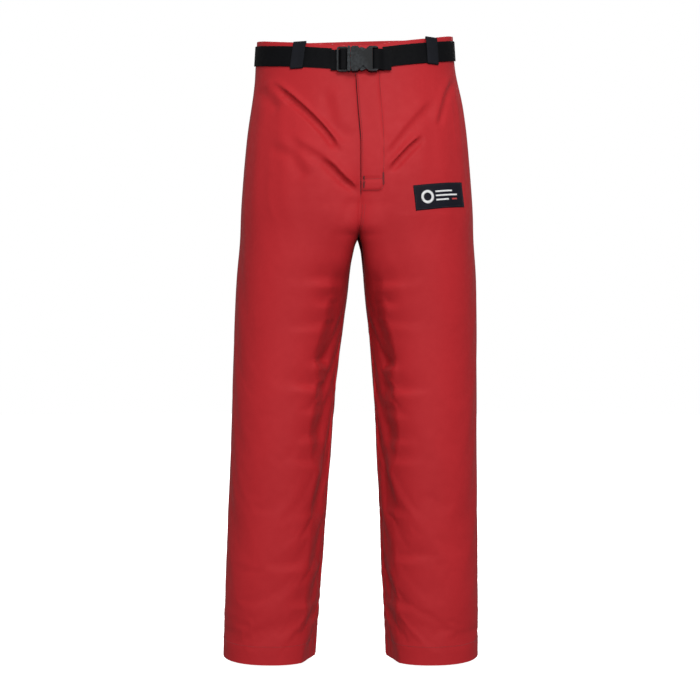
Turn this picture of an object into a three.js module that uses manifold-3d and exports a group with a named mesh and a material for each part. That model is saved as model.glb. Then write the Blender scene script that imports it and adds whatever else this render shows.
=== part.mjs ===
// Forestry chaps in the form of full over-trousers: two padded legs, a seat, a fly with a zip, and a
// webbing belt that closes with a side-release buckle. Millimetres, +Z up, -Y is the front, +X is the
// wearer's left. The origin is the middle of the waist opening, at the middle of the belt's width.
import * as THREE from 'three';
import { mergeVertices } from 'three/addons/utils/BufferGeometryUtils.js';
import Module from 'manifold-3d';

const wasm = await Module();
wasm.setup();

// ---- driving dimensions -------------------------------------------------------------------------
// Heights are measured down the cloth from the middle of the belt, before the waist is tilted.
const height = {
  waistTop: 25,
  waistSeam: -17,
  tiltEnds: -300,
  flyEnd: -235,
  crotch: -325,
  hipFold: [-331, -410],
  thigh: [-410, -510],
  kneeFold: [-510, -670],
  shin: [-670, -1046],
  hem: 32,
};
const waistSlope = 0.25;        // the waist opening rises towards the back
const waistRoll = 0.027;        // and a little towards the wearer's left
const waistDip = { width: 80, drop: 8, lift: 2, front: 60, back: 6 };  // it hangs lower behind the buckle
const legLean = -11;            // sideways shift of both hems
const squareness = 2.3;         // exponent of the super-ellipse that every section follows
const facets = 16;              // flat facets round one leg, and round half the waist
const facetShare = 1 / facets;
const seamGap = 0.0006;         // share of a section left open at each sewn edge
const seamClearance = 0.2;      // half the gap between the left and right halves
const layerGap = 0.3;

// Depths run inwards from the outer surface of the shell.
const depth = {
  shell: [0, 1.2],
  hem: [1.6, 2.8],
  flyFacing: [1.6, 2.4],
  cutPad: [1.6, 9.1],
  legLining: [10.2, 10.8],
  hipLining: [4, 4.6],
  fold: [0, 10.2],
  flyShield: [11.2, 12.2],
  waistband: [0, 3],
  belt: [-2.4, -0.6],
  label: [-1.8, -0.8],
};
const beltWidth = 35;
const loop = { width: 25, thickness: 1.4, inside: 3.4, top: 25.5, bottom: -24.5, foot: 6, standOff: 1.1 };
const snap = { x: 12, h: 3, capRadius: 7, shankRadius: 2.4, studRadius: 6, socketRadius: 2.6 };
const zip = {
  top: -45,
  bottom: -190,
  middle: 18,
  tape: { inner: 2.9, outer: 14, depths: [7.3, 7.9] },
  teeth: { pitch: 6, height: 3, tip: 0.7, root: 1.6, rail: 2.6, depths: [6.8, 8.4] },
  slider: { width: 9, height: 10, depths: [5.6, 9.6], channel: [6.5, 8.7], divider: 0.4 },
  pull: { width: 5.2, from: -24, to: -2, depths: [4.2, 5.3], eyeWidth: 2.8, eye: [-21.5, -16] },
  stop: { width: 6, height: 3.6, depths: [6.6, 8.6] },
};
const buckle = {
  x: 1,
  drop: -2,
  tilt: -4,
  height: 42,
  depths: [-13, -2.4],
  barDepths: [-8.6, -5.2],
  slotHeight: 36,
  chamfer: 3,
  wall: 2.2,
  rim: 4,
  socket: [-12, 34],
  socketMouth: 20,
  socketSlot: [24.5, 29.8],
  notch: { middle: 9, halfWidth: 11, deep: 9 },
  ladder: [-35, -16],
  ladderSlots: [[-32.3, -26.5], [-23, -18]],
  shoulder: [-17.2, -12.4],
  tongue: { x: [-14, 17], height: 7, depths: [-9.4, -6.2] },
  prongDepths: [-10.4, -5.4],
  foldThickness: 1.3,
};
const label = { width: 88, height: 42, turn: 7, around: 0.24, h: -258 };

// ---- the shape of the cloth ---------------------------------------------------------------------
// Each list gives [height, millimetres] from top to bottom.
const outerEdge = curveThrough([
  [25, 174], [0, 176], [-54, 179], [-133, 190], [-185, 195], [-238, 199], [-325, 205],
  [-423, 209], [-563, 212], [-703, 214], [-843, 218], [-1046, 222],
]);
const innerEdge = curveThrough([
  [25, -174], [0, -176], [-60, -172], [-120, -155], [-180, -125], [-230, -90], [-270, -55],
  [-300, -25], [-325, 0], [-353, 8], [-423, 16], [-563, 31.5], [-703, 41], [-843, 49], [-1046, 62],
]);
const frontDepth = curveThrough([
  [25, 107], [0, 109], [-100, 118], [-200, 126], [-280, 124], [-353, 116], [-450, 106],
  [-600, 97], [-800, 90], [-1046, 84],
]);
const backDepth = curveThrough([
  [25, 107], [0, 109], [-100, 124], [-180, 135], [-260, 134], [-353, 122], [-450, 110],
  [-600, 97], [-800, 90], [-1046, 84],
]);

// A smooth function of height through the given stations.
function curveThrough(stations) {
  const last = stations.length - 1;
  const slopeAt = (i) => {
    const above = stations[Math.max(i - 1, 0)];
    const below = stations[Math.min(i + 1, last)];
    return (below[1] - above[1]) / (below[0] - above[0]);
  };
  return (h) => {
    let i = 0;
    while (i < last - 1 && h < stations[i + 1][0]) i += 1;
    const [h0, v0] = stations[i];
    const [h1, v1] = stations[i + 1];
    const step = h1 - h0;
    const t = THREE.MathUtils.clamp((h - h0) / step, 0, 1);
    const t2 = t * t;
    const t3 = t2 * t;
    return (2 * t3 - 3 * t2 + 1) * v0 + (t3 - 2 * t2 + t) * step * slopeAt(i)
      + (3 * t2 - 2 * t3) * v1 + (t3 - t2) * step * slopeAt(i + 1);
  };
}

const signedPower = (value, exponent) => Math.sign(value) * Math.abs(value) ** exponent;

// A point of the cloth's outer surface. Around runs from 0 at the front seam (the inseam, on a leg)
// through 0.5 at the side seam to 1 at the back seam on the wearer's left, and the same way with
// negative numbers on the right. From 1 to 2 it carries on past the back seam onto the right side.
function clothPoint(around, h) {
  const onRight = around < 0 || around > 1;
  const side = onRight ? -1 : 1;
  const share = around > 1 ? 2 - around : Math.abs(around);
  const centre = (outerEdge(h) + innerEdge(h)) / 2;
  const radius = (outerEdge(h) - innerEdge(h)) / 2;
  const cut = THREE.MathUtils.clamp(centre / radius, 0, 1);
  const first = Math.acos(cut ** (squareness / 2));
  const angle = first + share * (2 * Math.PI - 2 * first);
  const across = signedPower(Math.cos(angle), 2 / squareness);
  const deep = signedPower(Math.sin(angle), 2 / squareness);
  const lean = legLean * Math.max(0, (height.crotch - h) / (height.crotch - height.shin[1]));
  const x = side * (centre - radius * across) + lean;
  const y = -(deep > 0 ? frontDepth(h) : backDepth(h)) * deep;
  const tilt = THREE.MathUtils.smoothstep(h, height.tiltEnds, -20);
  const inFront = waistDip.lift - waistDip.drop * Math.exp(-((x / waistDip.width) ** 2));
  const dip = inFront * THREE.MathUtils.smoothstep(-y, 0, waistDip.front)
    - waistDip.back * THREE.MathUtils.smoothstep(y, 0, 100);
  return new THREE.Vector3(x, y, h + tilt * (waistSlope * y + waistRoll * x + dip));
}

// The part of the waist or leg that a piece belongs to: one side of the body, or both.
const nearSeam = 1e-6;
function boundsOf([from, to]) {
  if (to > 1 || (from < 0 && to > 0)) return [-1, 2];
  return to > 0 ? [0, 1] : [-1, -nearSeam];
}

// The level direction out of the cloth at a point, with neighbours taken only inside the bounds.
function clothNormal(around, h, [from, to], ring = false) {
  const step = 0.002;
  const wrap = (a) => (ring ? from + THREE.MathUtils.euclideanModulo(a - from, to - from)
    : THREE.MathUtils.clamp(a, from, to));
  const along = clothPoint(wrap(around + step), h).sub(clothPoint(wrap(around - step), h));
  return new THREE.Vector3(along.y, -along.x, 0).normalize();
}

// A point at a depth inside the cloth's outer surface: a negative depth stands proud of it.
function pointAtDepth(around, h, deep, bounds, ring) {
  return clothPoint(around, h).addScaledVector(clothNormal(around, h, bounds, ring), -deep);
}

// A closed sheet of cloth between two depths, from rows of points that run top to bottom.
function sheetGeometry(outerRows, innerRows, ring) {
  const corners = [];
  const quad = (a, b, c, d) => corners.push(a, b, c, a, c, d);
  const rows = outerRows.length;
  const columns = outerRows[0].length;
  const next = (i) => (i + 1) % columns;
  const lastColumn = ring ? columns : columns - 1;
  for (let j = 0; j < rows - 1; j += 1) {
    for (let i = 0; i < lastColumn; i += 1) {
      quad(outerRows[j][i], outerRows[j + 1][i], outerRows[j + 1][next(i)], outerRows[j][next(i)]);
      quad(innerRows[j][i], innerRows[j][next(i)], innerRows[j + 1][next(i)], innerRows[j + 1][i]);
    }
    if (!ring) {
      const end = columns - 1;
      quad(outerRows[j][0], innerRows[j][0], innerRows[j + 1][0], outerRows[j + 1][0]);
      quad(outerRows[j][end], outerRows[j + 1][end], innerRows[j + 1][end], innerRows[j][end]);
    }
  }
  const base = rows - 1;
  for (let i = 0; i < lastColumn; i += 1) {
    quad(outerRows[0][i], outerRows[0][next(i)], innerRows[0][next(i)], innerRows[0][i]);
    quad(outerRows[base][i], innerRows[base][i], innerRows[base][next(i)], outerRows[base][next(i)]);
  }
  return new THREE.BufferGeometry().setFromPoints(corners);
}

// One cut piece of cloth: its range round the section, its heights, and its two depths.
function clothPiece({ range, levels, depths, steps, ring = false, apart = 0 }) {
  const bounds = boundsOf(range);
  const rowsAt = (deep) => levels.map((h) => {
    const count = ring ? steps : steps + 1;
    return Array.from({ length: count }, (_, i) => {
      const around = THREE.MathUtils.lerp(range[0], range[1], i / steps);
      const point = pointAtDepth(around, h, deep, bounds, ring);
      point.x += apart;
      return point;
    });
  });
  return sheetGeometry(rowsAt(depths[0]), rowsAt(depths[1]), ring);
}

const levelsBetween = ([top, bottom], steps) => Array.from(
  { length: steps + 1 },
  (_, i) => THREE.MathUtils.lerp(top - layerGap / 2, bottom + layerGap / 2, i / steps),
);

// A share of one side's section as a range that always increases.
const sideRange = (side, from, to) => (side > 0
  ? [from + seamGap, to - seamGap]
  : [-to + seamGap, -from - seamGap]);

// ---- solid helpers ------------------------------------------------------------------------------
function toSolid(geometry) {
  const bare = geometry.clone();
  bare.deleteAttribute('normal');
  bare.deleteAttribute('uv');
  const merged = mergeVertices(bare, 1e-3);
  return new wasm.Manifold(new wasm.Mesh({
    numProp: 3,
    vertProperties: merged.attributes.position.array,
    triVerts: new Uint32Array(merged.index.array),
  }));
}

function toGeometry(solid) {
  const mesh = solid.getMesh();
  const geometry = new THREE.BufferGeometry();
  geometry.setAttribute('position', new THREE.BufferAttribute(mesh.vertProperties, 3));
  geometry.setIndex(new THREE.BufferAttribute(mesh.triVerts, 1));
  return geometry;
}

const cutAway = (body, ...tools) => toGeometry(
  tools.reduce((solid, tool) => solid.subtract(toSolid(tool)), toSolid(body)),
);
const joined = (body, ...others) => toGeometry(
  others.reduce((solid, other) => solid.add(toSolid(other)), toSolid(body)),
);

// A box given by its low and high corners.
function boxBetween(low, high) {
  const size = high.map((value, axis) => value - low[axis]);
  const middle = high.map((value, axis) => (value + low[axis]) / 2);
  return new THREE.BoxGeometry(...size).translate(...middle);
}

// An outline drawn in x and z, extruded between two depths.
function plate(outline, from, to) {
  const shape = new THREE.Shape(outline.map(([x, z]) => new THREE.Vector2(x, z)));
  const geometry = new THREE.ExtrudeGeometry(shape, { depth: to - from, bevelEnabled: false });
  return geometry.rotateX(Math.PI / 2).translate(0, to, 0);
}

// A strip of webbing that follows a path drawn in x and depth, extruded upwards by its width.
function strip(path, thickness, width) {
  const points = path.map(([x, y]) => new THREE.Vector2(x, y));
  const sideways = points.map((point, i) => {
    const before = points[Math.max(i - 1, 0)];
    const after = points[Math.min(i + 1, points.length - 1)];
    const along = after.clone().sub(before).normalize();
    return new THREE.Vector2(-along.y, along.x).multiplyScalar(thickness / 2);
  });
  const leftEdge = points.map((point, i) => point.clone().add(sideways[i]));
  const rightEdge = points.map((point, i) => point.clone().sub(sideways[i])).reverse();
  const shape = new THREE.Shape([...leftEdge, ...rightEdge]);
  return new THREE.ExtrudeGeometry(shape, { depth: width, bevelEnabled: false })
    .translate(0, 0, -width / 2);
}

// ---- colours ------------------------------------------------------------------------------------
const finish = (color, roughness, metalness = 0) => new THREE.MeshStandardMaterial(
  { color, roughness, metalness },
);
const finishes = {
  shell: finish(0xb02f34, 0.8),
  lining: finish(0x3a3c42, 0.95),
  pad: finish(0xd9d4c4, 0.95),
  webbing: finish(0x141416, 0.85),
  plastic: finish(0x31363b, 0.45),
  label: finish(0x1f202b, 0.7),
  zipTape: finish(0x7d1d22, 0.9),
  brass: finish(0xb08d4a, 0.35, 1),
};

const chaps = new THREE.Group();
const place = (name, geometry, material, parent = chaps) => {
  const mesh = new THREE.Mesh(geometry, material);
  mesh.name = name;
  parent.add(mesh);
  return mesh;
};

// ---- seat: the four hip panels and their lining -------------------------------------------------
const hipLevels = [height.waistSeam - layerGap, -60, -105, -150, -195, height.flyEnd, -270, -297, -315,
  height.crotch, height.hipFold[0] + layerGap / 2];
const liningStart = 2 * facetShare;    // the hip lining stops short of the fly

// The front and the back panel of one side, between two heights.
function addPanels(side, name, part, levels) {
  const common = { levels, depths: depth.shell, steps: facets / 2, apart: side * seamClearance };
  place(`${name}_front_${part}_panel`,
    clothPiece({ ...common, range: sideRange(side, 0, 0.5) }), finishes.shell);
  place(`${name}_back_${part}_panel`,
    clothPiece({ ...common, range: sideRange(side, 0.5, 1) }), finishes.shell);
}

function addHip(side, name) {
  addPanels(side, name, 'hip', hipLevels);
  place(`${name}_hip_lining`, clothPiece({
    range: sideRange(side, liningStart, 1),
    levels: hipLevels,
    depths: depth.hipLining,
    steps: facets - 2,
    apart: side * seamClearance,
  }), finishes.lining);
}

// ---- legs ---------------------------------------------------------------------------------------
// A tube of cloth all the way round one leg.
function addTube(side, name, levels, depths, material) {
  place(name, clothPiece({
    range: side > 0 ? [0, 1] : [-1, 0],
    levels,
    depths,
    steps: facets,
    ring: true,
    apart: side * seamClearance,
  }), material);
}

function addLegInside(side, name, part, levels) {
  place(`${name}_${part}_cut_pad`, clothPiece({
    range: sideRange(side, 0, 0.5),
    levels,
    depths: depth.cutPad,
    steps: facets / 2,
    apart: side * seamClearance,
  }), finishes.pad);
  addTube(side, `${name}_${part}_lining`, levels, depth.legLining, finishes.lining);
}

function addLeg(side, name) {
  const [kneeEnd, hemEdge] = height.shin;
  const hemTop = hemEdge + height.hem;
  const thighLevels = levelsBetween(height.thigh, 2);
  addTube(side, `${name}_hip_fold`, levelsBetween(height.hipFold, 3), depth.fold, finishes.shell);
  addPanels(side, name, 'thigh', thighLevels);
  addLegInside(side, name, 'thigh', thighLevels);
  addTube(side, `${name}_knee_fold`, levelsBetween(height.kneeFold, 4), depth.fold, finishes.shell);
  addPanels(side, name, 'shin', levelsBetween(height.shin, 4));
  addLegInside(side, name, 'shin', levelsBetween([kneeEnd, hemTop], 4));
  addTube(side, `${name}_hem`, levelsBetween([hemTop, hemEdge], 1), depth.hem, finishes.shell);
}

// ---- waistband ----------------------------------------------------------------------------------
const waistLevels = [height.waistTop, 0, height.waistSeam];

function waistbandPiece(range, steps) {
  return clothPiece({ range, levels: waistLevels, depths: depth.waistband, steps });
}

// A round disc that faces out of the front, between two depths.
function disc(radius, from, to) {
  return new THREE.CylinderGeometry(radius, radius, to - from, 20).translate(0, (from + to) / 2, 0);
}

function addWaistband() {
  const front = clothPoint(0, snap.h);
  const seat = new THREE.Vector3(snap.x, front.y, front.z);
  const hole = disc(snap.shankRadius + layerGap, -3, 6).translate(...seat.toArray());
  const leftBand = waistbandPiece(sideRange(1, 0, 0.5), facets / 2);
  place('front_left_waistband', cutAway(leftBand, hole), finishes.shell);
  place('front_right_waistband', waistbandPiece(sideRange(-1, 0, 0.5), facets / 2), finishes.shell);
  place('back_waistband', waistbandPiece([0.5 + seamGap, 1.5 - seamGap], facets), finishes.shell);
  const cap = joined(disc(snap.capRadius, -1.9, -0.3), disc(snap.shankRadius, -1, 3.6));
  place('waist_snap_cap', cap, finishes.brass).position.copy(seat);
  const stud = cutAway(disc(snap.studRadius, 4.4, 6.5), disc(snap.socketRadius, 4, 5.4));
  place('waist_snap_stud', stud, finishes.brass).position.copy(seat);
}

// ---- fly and zip --------------------------------------------------------------------------------
const flyLevels = hipLevels.filter((h) => h >= height.flyEnd);

function addFly() {
  place('fly_facing', clothPiece({
    range: [seamGap, facetShare],
    levels: flyLevels,
    depths: depth.flyFacing,
    steps: 1,
    apart: seamClearance,
  }), finishes.shell);
  place('fly_shield', clothPiece({
    range: [-facetShare, facetShare],
    levels: flyLevels,
    depths: depth.flyShield,
    steps: 2,
  }), finishes.shell);
}

// The zip lies flat in a frame of its own: x across, y into the body, z up the fly.
function zipFrame() {
  const top = clothPoint(0.02, zip.top);
  const bottom = clothPoint(0.02, zip.bottom);
  const up = top.clone().sub(bottom);
  const frame = new THREE.Group();
  frame.position.set(zip.middle, top.y, top.z);
  frame.rotation.x = Math.atan2(-up.y, up.z);
  return { frame, length: up.length() };
}

function toothRow(side, length) {
  const { pitch, height: tall, tip, root, rail, depths } = zip.teeth;
  const outline = [[side * rail, 0], [side * rail, -length]];
  for (let tooth = Math.floor(length / pitch); tooth > 0; tooth -= 1) {
    const low = 1 - tooth * pitch;
    const high = low + tall;
    outline.push([side * root, low], [side * tip, low], [side * tip, high], [side * root, high]);
  }
  outline.push([side * root, 0]);
  return plate(outline, ...depths);
}

function sliderGeometry() {
  const { width, height: tall, depths, channel, divider } = zip.slider;
  const body = boxBetween([-width / 2, depths[0], -tall], [width / 2, depths[1], 0]);
  const left = boxBetween([divider, channel[0], -tall - 1], [width, channel[1], 1]);
  const right = boxBetween([-width, channel[0], -tall - 1], [-divider, channel[1], 1]);
  return cutAway(body, left, right);
}

function pullGeometry() {
  const { width, from, to, depths, eyeWidth, eye } = zip.pull;
  const tab = boxBetween([-width / 2, depths[0], from], [width / 2, depths[1], to]);
  const hole = boxBetween([-eyeWidth / 2, depths[0] - 1, eye[0]], [eyeWidth / 2, depths[1] + 1, eye[1]]);
  return cutAway(tab, hole);
}

function addZip() {
  const { frame, length } = zipFrame();
  const { tape, stop } = zip;
  chaps.add(frame);
  for (const [side, name] of [[1, 'left'], [-1, 'right']]) {
    const low = Math.min(side * tape.inner, side * tape.outer);
    const high = Math.max(side * tape.inner, side * tape.outer);
    const strip = boxBetween([low, tape.depths[0], -length], [high, tape.depths[1], 0]);
    place(`${name}_zip_tape`, strip, finishes.zipTape, frame);
    place(`${name}_zip_teeth`, toothRow(side, length), finishes.brass, frame);
  }
  const stopTop = -length - 2 * layerGap;
  const stopBlock = boxBetween(
    [-stop.width / 2, stop.depths[0], stopTop - stop.height],
    [stop.width / 2, stop.depths[1], stopTop],
  );
  place('zip_bottom_stop', stopBlock, finishes.brass, frame);
  place('zip_slider', sliderGeometry(), finishes.brass, frame);
  place('zip_pull', pullGeometry(), finishes.brass, frame);
}

// ---- belt ---------------------------------------------------------------------------------------
const beltLevels = [beltWidth / 2, -beltWidth / 2];
const beltStart = facetShare;          // where the belt meets the buckle's webbing, each side
const beltSplit = 3 * facetShare;      // where the right front stretch passes under its loop

function addBelt() {
  const common = { levels: beltLevels, depths: depth.belt };
  const main = clothPiece({ ...common, range: [beltStart, 2 - beltSplit], steps: 2 * facets - 4 });
  place('belt_webbing', main, finishes.webbing);
  const short = clothPiece({ ...common, range: [seamGap - beltSplit, -beltStart], steps: 2 });
  place('belt_webbing_front_right', short, finishes.webbing);
}

// A belt loop is a bridge of webbing, drawn in depth and height and extruded along the waist.
function loopGeometry() {
  const { width, thickness, inside, top, bottom, foot, standOff } = loop;
  const out = -inside - thickness;
  const bridge = [
    [-standOff, top], [out + 1, top], [out, top - 2], [out, bottom + 2], [out + 1, bottom],
    [-standOff, bottom], [-standOff, bottom + foot], [-inside, bottom + foot],
    [-inside, top - foot], [-standOff, top - foot],
  ];
  const shape = new THREE.Shape(bridge.map(([x, y]) => new THREE.Vector2(x, y)));
  return new THREE.ExtrudeGeometry(shape, { depth: width, bevelEnabled: false })
    .translate(0, 0, -width / 2);
}

// Loop positions round the waist, in the measure that clothPoint takes.
const loopPlaces = {
  front_left_belt_loop: 0.241,
  front_right_belt_loop: -0.166,
  back_left_belt_loop: 0.72,
  back_right_belt_loop: -0.72,
  centre_back_belt_loop: 1,
};

function addLoop(name, around) {
  const step = 0.01;
  const along = clothPoint(around + step, 0).sub(clothPoint(around - step, 0)).normalize();
  const down = clothPoint(around, loop.bottom).sub(clothPoint(around, loop.top));
  const inward = new THREE.Vector3().crossVectors(along, down).normalize();
  const up = new THREE.Vector3().crossVectors(along, inward);
  const mesh = place(name, loopGeometry(), finishes.webbing);
  mesh.position.copy(clothPoint(around, 0));
  mesh.setRotationFromMatrix(new THREE.Matrix4().makeBasis(inward, up, along));
}

// ---- side-release buckle ------------------------------------------------------------------------
// In its own frame x runs along the belt, z up, and y into the body from the waistband's surface.
const buckleTop = buckle.height / 2;
const slotTop = buckle.slotHeight / 2;
const wellOutside = [buckle.depths[0] - 1, 0];       // cuts through the full depth of the buckle

function chamferedOutline([left, right], top) {
  const cut = buckle.chamfer;
  return [
    [left, -top + cut], [left + cut, -top], [right - cut, -top], [right, -top + cut],
    [right, top - cut], [right - cut, top], [left + cut, top], [left, top - cut],
  ];
}

// A rectangular cut through the whole depth, or from one depth to another.
function slotCut([left, right], [front, back] = wellOutside) {
  return boxBetween([left, front, -slotTop], [right, back, slotTop]);
}

function socketGeometry() {
  const { depths, barDepths, wall, rim, socket, socketMouth, socketSlot, notch } = buckle;
  const body = plate(chamferedOutline(socket, buckleTop), ...depths);
  const mouth = boxBetween(
    [socket[0] - 1, depths[0] + wall, rim - buckleTop],
    [socketMouth, depths[1] - wall, buckleTop - rim],
  );
  const notchCut = (up) => plate([
    [notch.middle - notch.halfWidth, up * (buckleTop + 1)],
    [notch.middle, up * (buckleTop - notch.deep)],
    [notch.middle + notch.halfWidth, up * (buckleTop + 1)],
  ], ...wellOutside);
  const pastBar = [socketSlot[1] - 0.1, socket[1] + 2];
  const overBar = slotCut(pastBar, [wellOutside[0], barDepths[0]]);
  const underBar = slotCut(pastBar, [barDepths[1], wellOutside[1]]);
  return cutAway(body, mouth, notchCut(1), notchCut(-1), slotCut(socketSlot), overBar, underBar);
}

function plugGeometry() {
  const { depths, barDepths, ladder, ladderSlots, shoulder, tongue } = buckle;
  const shoulderBlock = boxBetween([shoulder[0], depths[0], -buckleTop], [shoulder[1], depths[1], buckleTop]);
  const frame = plate(chamferedOutline(ladder, buckleTop), ...barDepths);
  const guide = boxBetween(
    [tongue.x[0], tongue.depths[0], -tongue.height / 2],
    [tongue.x[1], tongue.depths[1], tongue.height / 2],
  );
  const slots = ladderSlots.map((ends) => slotCut(ends));
  return cutAway(joined(frame, shoulderBlock, guide), ...slots);
}

// One sprung arm with its barb, drawn in x and z for the upper side.
const prongOutline = [
  [-12.1, 11.8], [3.6, 13.6], [3.6, 19.2], [7, 19.8], [13, 17.2], [16, 13], [11, 10.6], [-12.1, 8.6],
];

function prongGeometry(up) {
  return plate(prongOutline.map(([x, z]) => [x, up * z]), ...buckle.prongDepths);
}

// Webbing sewn round the two bars: [x, depth] along its middle line.
const plugFold = [
  [-41.8, -1.5], [-38, -2.6], [-34, -3.9], [-30.4, -4.6], [-29, -7.2], [-27.6, -9.4], [-24.8, -9.8],
  [-21.8, -9.3], [-20.4, -6.8], [-21, -3.6], [-24, -1.7], [-29, -1.1],
];
const socketFold = [
  [42, -1.5], [38, -2.7], [34, -3.9], [30, -4.1], [27.2, -5.4], [27, -8.2], [29.2, -9.8],
  [33.6, -9.9], [38, -7.9], [43, -4.9], [49, -3.6],
];

function addBuckle() {
  const front = clothPoint(0, buckle.drop);
  const frame = new THREE.Group();
  frame.position.set(buckle.x, front.y, front.z);
  frame.rotation.x = THREE.MathUtils.degToRad(buckle.tilt);
  chaps.add(frame);
  place('buckle_socket', socketGeometry(), finishes.plastic, frame);
  place('buckle_plug', plugGeometry(), finishes.plastic, frame);
  place('upper_prong', prongGeometry(1), finishes.plastic, frame);
  place('lower_prong', prongGeometry(-1), finishes.plastic, frame);
  const foldWidth = buckle.slotHeight - 1;
  place('belt_fold_at_plug', strip(plugFold, buckle.foldThickness, foldWidth), finishes.webbing, frame);
  place('belt_fold_at_socket', strip(socketFold, buckle.foldThickness, foldWidth), finishes.webbing, frame);
}

// ---- label --------------------------------------------------------------------------------------
function addLabel() {
  const { around, h } = label;
  const probe = 0.01;
  const perShare = clothPoint(around + probe, h).distanceTo(clothPoint(around, h)) / probe;
  const turn = THREE.MathUtils.degToRad(label.turn);
  const columns = 6;
  const pointOn = (a, b, deep) => pointAtDepth(
    around + (a * Math.cos(turn) - b * Math.sin(turn)) / perShare,
    h + a * Math.sin(turn) + b * Math.cos(turn),
    deep,
    [0, 0.5],
  );
  const rowsAt = (deep) => [0.5, 0, -0.5].map((up) => Array.from(
    { length: columns + 1 },
    (_, i) => pointOn((i / columns - 0.5) * label.width, up * label.height, deep),
  ));
  const [outer, inner] = depth.label;
  place('front_label_patch', sheetGeometry(rowsAt(outer), rowsAt(inner), false), finishes.label);
}

for (const [side, name] of [[1, 'left'], [-1, 'right']]) {
  addHip(side, name);
  addLeg(side, name);
}
addWaistband();
addFly();
addZip();
addBelt();
for (const [name, around] of Object.entries(loopPlaces)) addLoop(name, around);
addBuckle();
addLabel();

export default chaps;
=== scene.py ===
import math

import bmesh
import bpy
import numpy as np
from mathutils import Matrix, Vector


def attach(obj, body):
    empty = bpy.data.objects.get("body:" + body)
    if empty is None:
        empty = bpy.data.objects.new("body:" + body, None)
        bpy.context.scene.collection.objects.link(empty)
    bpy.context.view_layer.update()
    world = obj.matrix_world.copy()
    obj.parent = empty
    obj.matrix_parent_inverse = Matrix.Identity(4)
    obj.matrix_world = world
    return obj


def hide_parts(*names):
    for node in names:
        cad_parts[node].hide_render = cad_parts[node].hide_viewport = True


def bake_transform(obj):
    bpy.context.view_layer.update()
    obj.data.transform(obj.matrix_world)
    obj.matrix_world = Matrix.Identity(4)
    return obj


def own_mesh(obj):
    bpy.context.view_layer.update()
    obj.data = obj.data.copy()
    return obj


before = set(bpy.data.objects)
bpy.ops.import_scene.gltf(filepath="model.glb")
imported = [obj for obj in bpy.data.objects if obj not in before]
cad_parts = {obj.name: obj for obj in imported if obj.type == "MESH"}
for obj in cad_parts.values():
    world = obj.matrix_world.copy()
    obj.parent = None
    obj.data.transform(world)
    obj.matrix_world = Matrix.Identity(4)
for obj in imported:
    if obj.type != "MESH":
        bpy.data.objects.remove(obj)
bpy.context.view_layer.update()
scene = bpy.context.scene

mm = 0.001
sides = {"left": 1, "right": -1}  # the wearer's left is +X


# camera
cameraSetup = {
    "place": (-0.012, -2.3, -0.518),
    "target": (-0.012, 0, -0.518),
    "lens": 67.6,
    "sensor": 36,
}


def makeCamera():
    data = bpy.data.cameras.new("camera")
    data.lens = cameraSetup["lens"]
    data.sensor_width = cameraSetup["sensor"]
    camera = bpy.data.objects.new("camera", data)
    scene.collection.objects.link(camera)
    camera.location = cameraSetup["place"]
    direction = Vector(cameraSetup["target"]) - camera.location
    camera.rotation_euler = direction.to_track_quat("-Z", "Y").to_euler()
    scene.camera = camera


makeCamera()
print("camera in place")


# the cut of the trousers: heights and sizes in millimetres, heights run down the cloth from the belt
cut = {
    "outerEdge": [(25, 174), (0, 176), (-54, 179), (-133, 190), (-185, 195), (-238, 199), (-325, 205),
                  (-423, 209), (-563, 212), (-703, 214), (-843, 218), (-1046, 222)],
    "innerEdge": [(25, -174), (0, -176), (-60, -172), (-120, -155), (-180, -125), (-230, -90),
                  (-270, -55), (-300, -25), (-325, 0), (-353, 8), (-423, 16), (-563, 31.5),
                  (-703, 41), (-843, 49), (-1046, 62)],
    "frontDepth": [(25, 107), (0, 109), (-100, 118), (-200, 126), (-280, 124), (-353, 116),
                   (-450, 106), (-600, 97), (-800, 90), (-1046, 84)],
    "backDepth": [(25, 107), (0, 109), (-100, 124), (-180, 135), (-260, 134), (-353, 122),
                  (-450, 110), (-600, 97), (-800, 90), (-1046, 84)],
    "squareness": 2.3,
    "lean": -11,
    "waistSlope": 0.25,
    "waistDip": {"width": 80, "drop": 8, "lift": 2, "front": 60, "back": 6},  # lower behind the buckle
    "leftWaistTuck": 0.04,  # the waist is drawn in a little on the wearer's left
    "waistRoll": 0.027,
    "tiltEnds": -300,
    "waistSeam": -17.3,
    "crotch": -325,
    "pieceCut": -480,  # mid-thigh, where the upper and lower pieces of a leg meet
    "hem": -1045.8,
    # below 1 the front runs flat up to the inner edge
    "crotchFlatness": [(-190, 1), (-230, 0.8), (-265, 0.5), (-300, 0.36), (-330, 0.32), (-365, 0.42),
                       (-420, 0.7), (-500, 1)],
    # how far the front stands forward near the inner edge
    "crotchForward": [(-275, 0), (-300, 7), (-318, 14), (-332, 15), (-355, 8), (-400, 0)],
    "hemDrop": 5,  # the hem hangs lower at the inner front corner
    "frontSeamShift": [(-17, -3), (-80, 1), (-150, 6), (-260, 6), (-325, 3), (-400, 0)],
}
clothGrid = {"columns": 96, "upperRows": 68, "lowerRows": 82}


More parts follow.
